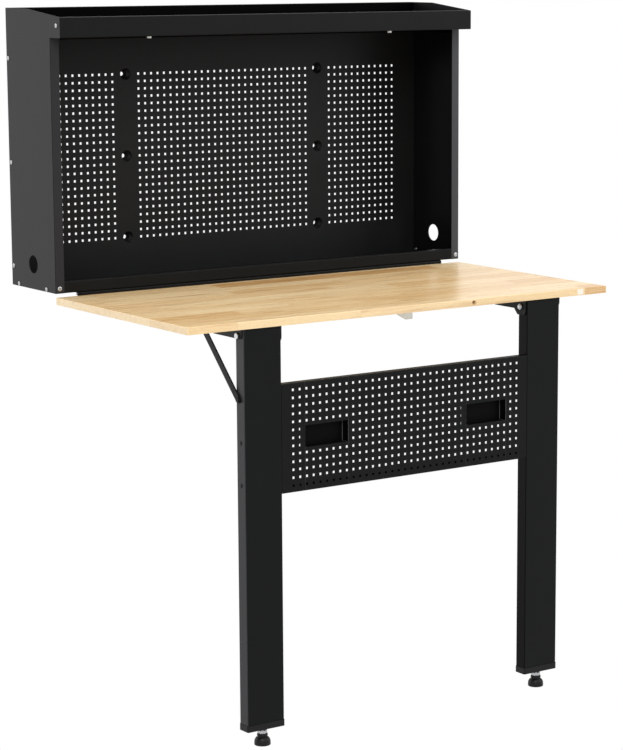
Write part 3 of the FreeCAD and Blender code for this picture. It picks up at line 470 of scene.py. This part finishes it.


# Painted sheen on the side flanges' front faces, paler towards the right.
painted_flange_sheen = ("Y", CABINET_FRONT, 0.6, "28282a", "424346", 0.12)
# Painted shade: the back panel's face inside the tray is darker and duller.
tray_middle = (TRAY_LEVEL + BACK_HIGH[2] + SKIN) / 2
tray_painted_shade = ("Z", tray_middle, tray_middle - TRAY_LEVEL, "030303", "030303", 0.02)
rear_face = ("Y", BACK_LOW[1] + SHEET, 0.3, "161717", "161717", 0.12)
# Painted light on the legs' outer narrow walls and painted shade on their inner ones.
painted_leg_wall_shading = []
# Painted highlights: pale lines on the grip openings' cut ends and along the pans' bends.
grip_bend_highlights = []
grip_cut_highlights = []
for side in SIDES:
    painted_leg_wall_shading.append(("X", side * LEG_HIGH[0], SKIN, "343436", "343436", 0.13))
    painted_leg_wall_shading.append(("X", side * LEG_LOW[0], SKIN, "040404", "040404", 0.06))
    for end in SIDES:
        cut = side * GRIP_X + end * GRIP_HALF[0]
        grip_cut_highlights.append(("X", cut, 0.05, "6c6c6e", "6c6c6e", 0.3))
        grip_bend_highlights.append(("X", cut - end * GRIP_BEND, 0.7, "5c5c5e", "5c5c5e", 0.3))
cabinet_coat = powder_coat("black_powder_coat_cabinet", "0b0c0c", "0f1010", 0.42, 0.11)
# The sides' coat is a lighter copy of the black coat: painted light.
side_coat = powder_coat("black_powder_coat_sides", "0e0e10", "121214", 0.42, 0.12, [painted_flange_sheen])
back_bands = [tray_painted_shade, rear_face]
back_coat = powder_coat("black_powder_coat_back", "141515", "191a1a", 0.44, 0.12, back_bands)
# The tray's and the grip pans' coats are darker, duller copies: painted shade in recesses.
tray_coat = powder_coat("painted_shade_black_powder_coat_tray", "060606", "080808", 0.6, 0.04)
leg_coat = powder_coat("black_powder_coat_legs", "0a0c0c", "0e100f", 0.40, 0.11, painted_leg_wall_shading)
panel_coat = powder_coat("black_powder_coat_panel", "0c0d0d", "101111", 0.44, 0.11, grip_cut_highlights)
grip_coat = powder_coat("painted_shading_black_powder_coat_grips", "050505", "070707", 0.5, 0.05, grip_bend_highlights)
bracket_coat = powder_coat("black_powder_coat_brackets", "0c0c0c", "111111", 0.42, 0.12)
hinge_coat = powder_coat("black_coated_hinge_steel", "070707", "0b0b0b", 0.38, 0.12)
bright_zinc = plated_steel("bright_zinc_plated_steel", "7d8084", "d6d7d8", 0.30)
satin_zinc = plated_steel("satin_zinc_plated_steel", "b0aca2", "dcd8ce", 0.45)
pale_zinc = plated_steel("pale_zinc_plated_strike", "e2dccf", "f6f2e8", 0.6)
drawn_steel = plated_steel("drawn_steel", "6e7072", "a9abad", 0.34, (0.05, 1, 1))
nickel = plated_steel("nickel_plated_magnet", "8f8d88", "d8d6d0", 0.26)
oiled_wood = jointed_hardwood("oiled_finger_jointed_rubberwood")
cap_plastic = moulded_plastic("moulded_black_polypropylene_caps", "0d0d0d", 0.5)
foot_plastic = moulded_plastic("moulded_black_polypropylene_feet", "0f0f0f", 0.42)

FINISHES = {
    "cabinet_paint": cabinet_coat,
    "leg_paint": leg_coat,
    "panel_paint": panel_coat,
    "bracket_paint": bracket_coat,
    "hinge_steel": hinge_coat,
    "pin_steel": drawn_steel,
    "board_wood": oiled_wood,
    "zinc_steel": bright_zinc,
    "magnet": nickel,
    "cap_plastic": cap_plastic,
    "foot_plastic": foot_plastic,
}
# Nodes whose finish differs a little from the rest of their slot: the sides take a lighter copy
# of the coat as painted light, the tray and the grip pans darker copies as painted shade.
NODE_FINISHES = {
    "side_left": side_coat,
    "side_right": side_coat,
    "tray_floor": tray_coat,
    "grip_pan_left": grip_coat,
    "grip_pan_right": grip_coat,
    "strike_plate": pale_zinc,
    "latch_tab": satin_zinc,
}
for row in frame["record"]["subparts"]:
    node = frame["nodes"][row["node"]]
    node.data.materials.clear()
    node.data.materials.append(NODE_FINISHES.get(row["node"], FINISHES[row["material_slot"]]))


# ---------------------------------------------------------------------------------------------
# Perforated sheets
# ---------------------------------------------------------------------------------------------
def hole_mask(middles, centres):
    """True for the cells whose middle lies within half a hole of any centre."""
    return np.any(np.abs(middles[:, None] - centres) < HOLE_HALF, axis=1)


def cell_middles(lines):
    """Middle of each cell between neighbouring planes."""
    return (lines[1:] + lines[:-1]) / 2


def merged_lines(*groups):
    """All planes in order, each one once."""
    return np.unique(np.round(np.concatenate([np.ravel(group) for group in groups]), 6))


def hole_edges(centres):
    """Planes along both edges of a row of holes."""
    return np.concatenate([centres - HOLE_HALF, centres + HOLE_HALF])


def add_perforated_back():
    """Sheet of square holes on a 16 mm grid with rims all round and six pressed dishes.

    The grid is cut into cells; holes and the squares round the dishes are left empty, and each
    square is closed by rings that pass from its outline to the dish's circle.
    """
    columns = np.array([column for column in range(58) if column not in (12, 13, 14, 43, 44, 45)])
    columns = (columns - 28.5) * HOLE_PITCH
    rows = (np.arange(23) - 11) * HOLE_PITCH
    inner = np.array([HOLE_HALF, HOLE_PITCH - HOLE_HALF])
    field = np.concatenate([-inner, inner, [-DISH_FIELD, DISH_FIELD]])
    dish_rows = np.array([-DISH_Z, 0, DISH_Z])
    dish_columns = np.array([-DISH_X, DISH_X])
    rim_x = [BACK_LOW[0], BACK_LOW[0] + SHEET, BACK_HIGH[0] - SHEET, BACK_HIGH[0]]
    rim_z = [BACK_LOW[2], BACK_LOW[2] + SHEET]
    xs = merged_lines(rim_x, hole_edges(columns), dish_columns[:, None] + field)
    zs = merged_lines(rim_z, hole_edges(rows), fold_lines(BACK_HIGH[2], -1), dish_rows[:, None] + field)
    ys = merged_lines(fold_lines(BACK_LOW[1], 1), [BACK_HIGH[1]])
    x, y, z = (cell_middles(lines) for lines in (xs, ys, zs))
    holes = np.outer(hole_mask(x, columns), hole_mask(z, rows))
    near_x = np.any(np.abs(x[:, None] - dish_columns) < DISH_FIELD, axis=1)
    near_z = np.any(np.abs(z[:, None] - dish_rows) < DISH_FIELD, axis=1)
    sheet = ~holes & ~np.outer(near_x, near_z)
    rim = (np.abs(x) > BACK_HIGH[0] - SHEET)[:, None] | (z < rim_z[1]) | (z > BACK_HIGH[2] - SHEET)
    face = y < BACK_LOW[1] + SHEET
    filled = (face[:, None] & sheet[:, None, :]) | rim[:, None, :]
    shell = cell_shell((xs, ys, zs), filled)
    shell = round_fold(shell, (1, BACK_LOW[1], 1), (2, BACK_HIGH[2], -1))
    dishes = [pressed_dish(across, up, field) for across in dish_columns for up in dish_rows]
    add_piece(
        "perforated_back", [shell, *dishes], "cabinet", back_coat,
        replaces=["back_panel"],
    )


def pressed_dish(across, up, field):
    """One dish: rings from the square's outline to the circle, down the cup and back behind it.

    Each ring is radius times a unit direction; the first and last are the square's outline, whose
    points lie where the sheet's own planes meet it.
    """
    side = np.sort(field)
    low = np.full(len(side) - 1, side[0])
    lower = np.stack([side[:-1], low], axis=1)
    outline = [lower]
    for _ in range(3):
        outline.append(np.stack([-outline[-1][:, 1], outline[-1][:, 0]], axis=1))
    outline = np.concatenate(outline)
    following = np.roll(outline, -1, axis=0)
    steps = np.arange(3)[:, None, None] / 3
    square = (outline + (following - outline) * steps).transpose(1, 0, 2).reshape(-1, 2)
    unit = square / np.linalg.norm(square, axis=1, keepdims=True)
    front = BACK_LOW[1]
    rear = front + SHEET
    profile = [
        (13.4, front), (12.6, front + 0.15), (12.0, front + 0.7), (11.7, front + 1.6),
        (9.0, -2.6), (8.5, -1.5), (7.8, -SHEET), (4.25, -SHEET),
        (4.25, 0.0), (8.5, 0.0), (9.6, -0.8), (10.0, -2.4),
        (12.9, rear + 0.8), (13.4, rear + 0.2), (14.4, rear),
    ]
    rings = [np.column_stack([square[:, 0], np.full(len(square), front), square[:, 1]])]
    for radius, depth in profile:
        rings.append(np.column_stack([unit[:, 0] * radius, np.full(len(unit), depth), unit[:, 1] * radius]))
    rings.append(np.column_stack([square[:, 0], np.full(len(square), rear), square[:, 1]]))
    points = np.concatenate(rings) + (across, 0, up)
    return points, [loop_quads(len(rings), len(square))]


def add_perforated_lower():
    """Panel between the legs: square holes, rims all round, a lip behind, two grip openings."""
    middle = (PANEL_LOW[2] + PANEL_HIGH[2]) / 2
    columns = (np.arange(36) - 17.5) * HOLE_PITCH
    rows = middle + (np.arange(13) - 6) * HOLE_PITCH
    grips = np.array([-GRIP_X, GRIP_X])
    rim_x = [PANEL_LOW[0], PANEL_LOW[0] + SHEET, PANEL_HIGH[0] - SHEET, PANEL_HIGH[0]]
    opening_x = grips[:, None] + GRIP_HALF[0] * np.array([-1, 1])
    opening_z = middle + GRIP_HALF[1] * np.array([-1, 1])
    xs = merged_lines(rim_x, hole_edges(columns), opening_x)
    folds = [fold_lines(PANEL_LOW[2], 1), fold_lines(PANEL_HIGH[2], -1)]
    zs = merged_lines(hole_edges(rows), opening_z, *folds, [PANEL_LOW[2] + PANEL_LIP])
    ys = merged_lines(fold_lines(PANEL_LOW[1], 1), [PANEL_HIGH[1] - SHEET, PANEL_HIGH[1]])
    x, y, z = (cell_middles(lines) for lines in (xs, ys, zs))
    by_column = np.any(np.abs(x[:, None] - grips) < GRIP_HALF[0] + HOLE_HALF, axis=1)
    by_row = np.abs(z - middle) < GRIP_HALF[1] + HOLE_HALF
    holes = np.outer(hole_mask(x, columns), hole_mask(z, rows)) & ~np.outer(by_column, by_row)
    in_grip = np.any(np.abs(x[:, None] - grips) < GRIP_HALF[0], axis=1)
    openings = np.outer(in_grip, np.abs(z - middle) < GRIP_HALF[1])
    sheet = ~holes & ~openings
    rim = (np.abs(x) > PANEL_HIGH[0] - SHEET)[:, None]
    rim = rim | (z < PANEL_LOW[2] + SHEET) | (z > PANEL_HIGH[2] - SHEET)
    lip = (y > PANEL_HIGH[1] - SHEET)[:, None] & (z < PANEL_LOW[2] + PANEL_LIP)
    face = y < PANEL_LOW[1] + SHEET
    filled = (face[:, None] & sheet[:, None, :]) | rim[:, None, :] | lip[None, :, :]
    shell = cell_shell((xs, ys, zs), filled)
    for edge in ((2, PANEL_LOW[2], 1), (2, PANEL_HIGH[2], -1)):
        shell = round_fold(shell, (1, PANEL_LOW[1], 1), edge)
    add_piece(
        "perforated_lower_panel", [shell], "leg_frame", panel_coat,
        replaces=["lower_panel"],
    )


# ---------------------------------------------------------------------------------------------
# Continuous hinge
# ---------------------------------------------------------------------------------------------
def add_hinge_leaves():
    """Two leaves whose short knuckles alternate along one pin, 12.5 mm from one to the next.

    A leaf is a sheet with a tooth left standing at each of its own knuckles; each knuckle is a
    tube round the pin. Between its teeth a sheet ends just clear of the other leaf's knuckles.
    """
    length = PIN_HIGH[0] - PIN_LOW[0]
    count = int(length / KNUCKLE_PITCH) | 1
    starts = PIN_LOW[0] + np.arange(count) * length / count
    ends = starts + length / count
    starts[1:] += KNUCKLE_GAP / 2
    ends[:-1] -= KNUCKLE_GAP / 2
    axis = (0, (PIN_LOW[1] + PIN_HIGH[1]) / 2, (PIN_LOW[2] + PIN_HIGH[2]) / 2)
    inner_face = axis[1] - BOARD_LEAF_LOW[1] - SHEET
    clear = math.sqrt((KNUCKLE_RADIUS + KNUCKLE_CLEAR) ** 2 - inner_face ** 2)
    plain_y = merged_lines([axis[1], axis[1] + clear, CABINET_LEAF_HIGH[1]])
    plain_z = merged_lines([BOARD_LEAF_LOW[2], axis[2] - clear, axis[2]])
    leaves = (
        ("hinge_leaf_on_cabinet", "cabinet", "hinge_cabinet_leaf", 0, plain_y,
         [CABINET_LEAF_HIGH[2] - SHEET, CABINET_LEAF_HIGH[2]]),
        ("hinge_leaf_on_board", "worktop", "hinge_worktop_leaf", 1,
         [BOARD_LEAF_LOW[1], BOARD_LEAF_LOW[1] + SHEET], plain_z),
    )
    for name, body, node, first, ys, zs in leaves:
        own = slice(first, None, 2)
        xs = merged_lines(starts[own], ends[own], [PIN_LOW[0], PIN_HIGH[0]])
        x = cell_middles(xs)[:, None]
        toothed = np.any((x > starts[own]) & (x < ends[own]), axis=1)
        filled = np.ones((len(xs) - 1, len(ys) - 1, len(zs) - 1), bool)
        tooth = (slice(None), 0, slice(None)) if first == 0 else (slice(None), slice(None), -1)
        filled[tooth] &= toothed[:, None]
        shells = [cell_shell((xs, np.array(ys), np.array(zs)), filled)]
        bore = PIN_RADIUS + 0.05 * first
        for start, end in zip(starts[own], ends[own]):
            section = [(bore, end), (bore, start), (KNUCKLE_RADIUS, start), (KNUCKLE_RADIUS, end)]
            shells.append(ring_of(section, (0, *axis[1:]), 0, around=16))
        add_piece(name, shells, body, hinge_coat, replaces=[node])


# ---------------------------------------------------------------------------------------------
# Screws, bolts, nuts and feet
# ---------------------------------------------------------------------------------------------
SOCKET_REACH = 0.55
SOCKET_DEPTH = 1.1
# The folded board stops 2 mm in front of the flange, so the screw in the flange stays lower.
FLANGE_SCREW_HEIGHT = 1.6
# Places (y, z) of the screws on a side's outer face and, near the bottom, on its inner face.
OUTER_SCREWS = ((-8, 216), (-9, -1), (-9, -219), (-31, -255), (-152, -255), (-220, 288))
INNER_SCREWS = ((-29, -253), (-98, -250))
FLANGE_SCREW = (8.8, -250)
HINGE_SCREWS = 8
LATCH_SCREWS = (16, 38)
PANEL_SCREW_RISES = (-85, 0, 85)


def screw_head(centre, axis, way, radius=3.8, height=1.7):
    """Low pan head with a cross recess, standing on centre and looking along way times axis.

    Height over a square grid bent onto a disc: height times one less 0.45 of the fourth power of
    the distance from the middle, and inside a cross of two bars the floor of the recess.
    """
    steps = np.array([-1, -0.85, -0.7, -SOCKET_REACH, -0.54, -0.3, -0.16, -0.15, 0.15, 0.16, 0.3, 0.54,
                      SOCKET_REACH, 0.7, 0.85, 1])
    across, along = np.meshgrid(steps, steps, indexing="ij")
    largest = np.maximum(np.abs(across), np.abs(along))
    length = np.maximum(np.hypot(across, along), 1e-9)
    blend = np.clip((largest - 0.6) / 0.4, 0, 1)
    scale = 1 + blend * (largest / length - 1)
    across, along = across * scale, along * scale
    distance = np.hypot(across, along)
    rise = height * (1 - 0.45 * distance ** 4)
    bar = (np.abs(across) < 0.155) & (np.abs(along) < 0.545)
    rise = np.where(bar | bar.T, height - SOCKET_DEPTH, rise)
    first, second = ACROSS[axis]
    count = len(steps)
    points = np.zeros((count, count, 3))
    points[..., first] = across * radius
    points[..., second] = along * radius * way
    points[..., axis] = rise * way
    cell = np.arange(count - 1)[:, None] * count + np.arange(count - 1)
    faces = np.stack([cell, cell + count, cell + count + 1, cell + 1], axis=-1).reshape(-1, 4)
    edge = np.concatenate([
        np.arange(count - 1) * count, (count - 1) * count + np.arange(count - 1),
        (count - 1 - np.arange(count - 1)) * count + count - 1, count - 1 - np.arange(count - 1),
    ])
    points = points.reshape(-1, 3)
    foot = points[edge].copy()
    foot[:, axis] = 0
    low = len(points) + np.arange(len(edge))
    skirt = np.stack([edge, low, np.roll(low, -1), np.roll(edge, -1)], axis=1)
    middle = np.zeros((1, 3))
    tip = np.full(len(edge), len(points) + len(edge))
    base = np.stack([tip, np.roll(low, -1), low], axis=1)
    return np.concatenate([points, foot, middle]) + centre, [faces, skirt, base]


def both_sides(shells):
    """The shells and their mirror images on the other side of the object."""
    return [*shells, *(mirrored(shell) for shell in shells)]


def add_screws():
    """The small bright screws of the cabinet, on its sides, its front corners and inside."""
    heads = [screw_head((SIDE_FACE, along, up), 0, 1, 4.6, 2.0) for along, up in OUTER_SCREWS]
    inset, up = FLANGE_SCREW
    heads.append(screw_head((SIDE_FACE - inset, CABINET_FRONT, up), 1, -1, 4.8, FLANGE_SCREW_HEIGHT))
    inner = SIDE_FACE - SHEET
    heads += [screw_head((inner, along, up), 0, -1, 4.2, 2.4) for along, up in INNER_SCREWS]
    add_piece("cabinet_screws", both_sides(heads), "cabinet", bright_zinc, smooth=True)

    under = CABINET_LEAF_HIGH[2] - SHEET
    rear = BOARD_LEAF_LOW[1] + SHEET
    steps = np.arange(HINGE_SCREWS) + 0.5
    places = steps * (PIN_HIGH[0] - PIN_LOW[0]) / HINGE_SCREWS + PIN_LOW[0]
    line = CABINET_LEAF_HIGH[1] - 9
    heads = [screw_head((across, line, under), 2, -1, 3.0, 0.9) for across in places]
    add_piece("hinge_screws_on_cabinet", heads, "cabinet", hinge_coat, smooth=True)
    line = BOARD_LEAF_LOW[2] + 7
    heads = [screw_head((across, rear, line), 1, 1, 3.0, 0.9) for across in places]
    add_piece("hinge_screws_on_board", heads, "worktop", hinge_coat, smooth=True)

    under = LATCH_HIGH[2] - 2
    front = LATCH_LOW[1]
    heads = [screw_head((0, front + reach, under), 2, -1, 3.6, 1.5) for reach in LATCH_SCREWS]
    add_piece("latch_screws", heads, "worktop", bright_zinc, smooth=True)


def add_panel_plugs():
    """Black plugs in the legs' outer walls, over the screws that hold the lower panel."""
    middle = (PANEL_LOW[2] + PANEL_HIGH[2]) / 2
    dome = [(4.6, 0), (4.6, 0.5), (4.0, 1.0), (2.6, 1.35), (0, 1.5)]
    plugs = []
    for rise in PANEL_SCREW_RISES:
        plugs.append(turned([(0, 0), *dome], (LEG_HIGH[0], LEG_Y, middle + rise), 0, 24))
    add_piece("leg_plugs", both_sides(plugs), "leg_frame", cap_plastic, smooth=True)


def add_head_plugs():
    """Black plugs that close the upper ends of the legs' tubes, in front of the heads' slopes."""
    lines = [
        np.array([LEG_LOW[0] + LEG_WALL, LEG_HIGH[0] - LEG_WALL]),
        np.array([LEG_LOW[1] + LEG_WALL, LEG_LOW[1] + HEAD_PLUG[0]]),
        np.array([LEG_HIGH[2] - HEAD_PLUG[1], LEG_HIGH[2] - 0.1]),
    ]
    plug = cell_shell(lines, np.ones((1, 1, 1), bool))
    add_piece("leg_head_plugs", both_sides([plug]), "leg_frame", cap_plastic)


def chamfered_hexagon(flats, low, high, centre, axis, bore=0.0):
    """Hexagon with its corners turned off at both ends, as a nut's or a bolt head's are.

    At the ends the radius is the flats' circle; a chamfer's height inwards it is the hexagon.
    """
    half = flats / 2
    chamfer = 0.12 * half
    around = 48
    ends = [(half * 0.97, low), (half, low + chamfer), (half, high - chamfer), (half * 0.97, high)]
    rings = []
    angle = np.arange(around) * math.tau / around
    first, second = ACROSS[axis]
    shapes = (np.ones(around), hexagon(angle), hexagon(angle), np.ones(around))
    for (radius, height), shape in zip(ends, shapes):
        ring = np.zeros((around, 3))
        ring[:, first] = radius * shape * np.cos(angle)
        ring[:, second] = radius * shape * np.sin(angle)
        ring[:, axis] = height
        rings.append(ring)
    for height in (high, low):
        ring = np.zeros((around, 3))
        ring[:, first] = max(bore, 0.01) * np.cos(angle)
        ring[:, second] = max(bore, 0.01) * np.sin(angle)
        ring[:, axis] = height
        rings.append(ring)
    return np.concatenate(rings) + centre, [loop_quads(len(rings), around)]


def thread(radius, depth, pitch, low, high, centre, around=24):
    """Screw thread: radius less depth times a triangle wave of height over pitch plus angle."""
    rows = int((high - low) / pitch * 6)
    height = np.linspace(low, high, rows)[:, None]
    angle = np.arange(around) * math.tau / around
    phase = (height / pitch - angle / math.tau) % 1
    reach = radius - depth * 2 * np.abs(phase - 0.5)
    points = np.stack([reach * np.cos(angle), reach * np.sin(angle), height + 0 * angle], axis=-1)
    points = points.reshape(-1, 3)
    spoke = np.arange(around)
    after = (spoke + 1) % around
    ends = np.array([[0, 0, low], [0, 0, high]])
    last = (rows - 1) * around
    low_fan = np.stack([np.full(around, len(points)), after, spoke], axis=1)
    high_fan = np.stack([np.full(around, len(points) + 1), spoke + last, after + last], axis=1)
    return np.concatenate([points, ends]) + centre, [strip_quads(rows, around), low_fan, high_fan]


def arc(centre, radius, start, end, steps=6):
    """Points of a profile along an arc, angles in degrees from the radius axis."""
    angle = np.radians(np.linspace(start, end, steps))
    return [(centre[0] + radius * math.cos(turn), centre[1] + radius * math.sin(turn)) for turn in angle]


def add_foot(name, side):
    """Levelling foot: bell of plastic, threaded stud and lock nut."""
    centre = (side * LEG_MIDDLE, LEG_Y, 0)
    low, high = FOOT_LOW[2], FOOT_HIGH[2]
    bell = [(0, low), *arc((15.2, low + 1.4), 1.4, -90, 0, 4), (16.4, low + 6)]
    bell += arc((4.4, low + 6.5), 12, 5, 62, 9)
    bell += [(10.0, low + 18.2), (10.8, low + 19.0), (10.9, high - 0.8), (10.4, high), (0, high)]
    shell = turned(bell, centre, 2, 48)
    body = f"foot_{name}"
    add_piece(f"foot_bell_{name}", [shell], body, foot_plastic, [f"foot_pad_{name}"], True)
    stud = thread(5, 0.85, 1.5, STUD_LOW[2], STUD_HIGH[2], centre)
    add_piece(f"threaded_stud_{name}", [stud], body, bright_zinc, [f"foot_stud_{name}"], True)
    nut = chamfered_hexagon(17, FOOT_NUT_LOW[2], FOOT_NUT_HIGH[2], centre, 2, bore=4.9)
    add_piece(f"lock_nut_{name}", [nut], body, bright_zinc, [f"foot_nut_{name}"], True)


def add_pivot_fasteners():
    """Bolt heads outboard of the brackets, lock nuts inboard with their rounded collars."""
    centre = (0, PIVOT[1], PIVOT[2])
    head_high = BOLTS_HIGH[0]
    head_low = head_high - PIVOT_HEAD
    nut_low, nut_high = NUTS_END - PIVOT_NUT, NUTS_END
    end = nut_low - 0.6
    shank = turned([(0, end), (2.5, end), (3, nut_low), (3, head_low), (0, head_low)], centre, 0, 24)
    bolts = [chamfered_hexagon(PIVOT_FLATS, head_low, head_high, centre, 0), shank]
    nut = chamfered_hexagon(PIVOT_FLATS, nut_low + 1.8, nut_high, centre, 0, bore=3.0)
    rim = nut_low + 1.9
    collar = [(3.0, rim), (3.0, nut_low), (4.0, nut_low), (4.6, nut_low + 0.8), (4.6, rim)]
    nuts = [nut, ring_of(collar, centre, 0, 32)]
    for kind, shells in (("bolt", bolts), ("nut", nuts)):
        name, node = f"pivot_{kind}_pair", f"pivot_{kind}s"
        add_piece(name, both_sides(shells), "worktop", bright_zinc, [node], True)


add_perforated_back()
add_perforated_lower()
add_hinge_leaves()
add_screws()
add_panel_plugs()
add_head_plugs()
add_foot("left", -1)
add_foot("right", 1)
add_pivot_fasteners()


# ---------------------------------------------------------------------------------------------
# Floor, light and camera
# ---------------------------------------------------------------------------------------------
def backdrop_rays(tree):
    """1 for rays that look at the background itself, in a mirror or through glass."""
    rays = add_node(tree, "LightPath").outputs
    seen = add_node(tree, "Math", [rays["Is Camera Ray"], rays["Is Glossy Ray"]], operation="MAXIMUM")
    seen = add_node(tree, "Math", [seen.outputs[0], rays["Is Transmission Ray"]], operation="MAXIMUM")
    return seen.outputs[0]


def add_world():
    """White behind everything, and a softer even light on the object."""
    world = bpy.data.worlds.new("pale_studio")
    bpy.context.scene.world = world
    world.use_nodes = True
    tree = world.node_tree
    strength = add_node(tree, "MapRange", [backdrop_rays(tree), 0.0, 1.0, 0.5, 1.0])
    background = tree.nodes["Background"]
    background.inputs["Color"].default_value = (1, 1, 1, 1)
    tree.links.new(strength.outputs[0], background.inputs["Strength"])


# The floor's size, and the distances from a foot between which it turns white.
FLOOR_RADIUS = 9000.0
FLOOR_FADE = (30.0, 150.0)


def add_floor():
    """Pale disc that keeps the shadow near each foot and turns into plain white further out.

    The fade runs with the distance from the nearer foot, whose place is the same on both sides.
    """
    material, tree, shader, place = start_finish("pale_studio_floor")
    shader.inputs["Base Color"].default_value = rgb("f4f4f4")
    shader.inputs["Roughness"].default_value = 0.9
    shader.inputs["Specular IOR Level"].default_value = 0.0
    folded = add_node(tree, "VectorMath", [place], operation="ABSOLUTE").outputs[0]
    foot = (LEG_MIDDLE * MM, -LEG_Y * MM, 0)
    distance = add_node(tree, "VectorMath", [folded, foot], operation="DISTANCE").outputs["Value"]
    near, far = FLOOR_FADE
    fade = add_node(tree, "MapRange", [distance, near * MM, far * MM, 0.0, 1.0]).outputs[0]
    share = add_node(tree, "Math", [fade, backdrop_rays(tree)], operation="MULTIPLY").outputs[0]
    white = add_node(tree, "Emission", [(1, 1, 1, 1), 1.0])
    mixed = add_node(tree, "MixShader", [share, shader.outputs[0], white.outputs[0]])
    tree.links.new(mixed.outputs[0], tree.nodes["Material Output"].inputs["Surface"])
    points, faces = turned([(0, 0), (FLOOR_RADIUS, 0)], (0, 0, FOOT_LOW[2]), 2, 64)
    mesh = bpy.data.meshes.new("studio_floor")
    mesh.from_pydata((points * MM).tolist(), [], [row[::-1] for kind in faces for row in kind.tolist()])
    mesh.materials.append(material)
    floor = bpy.data.objects.new("studio_floor", mesh)
    bpy.context.scene.collection.objects.link(floor)


def add_softbox(name, place, aim, size, power):
    """A rectangular light that looks from place to aim, in metres, and hides from the camera."""
    data = bpy.data.lights.new(name, "AREA")
    data.shape = "RECTANGLE"
    data.size, data.size_y = size
    data.energy = power
    lamp = bpy.data.objects.new(name, data)
    lamp.location = place
    towards = np.array(aim, float) - np.array(place, float)
    flat = math.hypot(towards[0], towards[1])
    lamp.rotation_euler = (math.atan2(flat, -towards[2]), 0, math.atan2(-towards[0], towards[1]))
    lamp.visible_camera = False
    bpy.context.scene.collection.objects.link(lamp)


def add_camera():
    """Camera to the left of the front and above the board, looking a little down, frame shifted."""
    data = bpy.data.cameras.new("camera")
    data.lens = 121.42
    data.shift_x = -0.1281
    data.shift_y = 0.0229
    data.clip_end = 100
    camera = bpy.data.objects.new("camera", data)
    camera.location = (-2.9738, -4.7969, 0.4352)
    camera.rotation_euler = (math.radians(80.117), 0, math.radians(-36.029))
    bpy.context.scene.collection.objects.link(camera)
    bpy.context.scene.camera = camera


add_world()
add_floor()
add_softbox("key_softbox", (-2.2, -3.4, 2.6), (0, -0.4, -0.3), (2.4, 2.4), 120)
add_softbox("fill_softbox", (2.8, -2.6, 1.2), (0, -0.3, -0.2), (2.0, 2.0), 30)
add_softbox("left_rear_softbox", (-2.4, 2.8, 0.2), (-0.3, -0.2, -0.2), (2.2, 3.2), 26)
add_softbox("top_softbox", (0.4, -0.7, 3.0), (0, -0.45, -0.3), (2.4, 2.4), 62)
add_camera()
bpy.context.scene.view_settings.view_transform = "Standard"
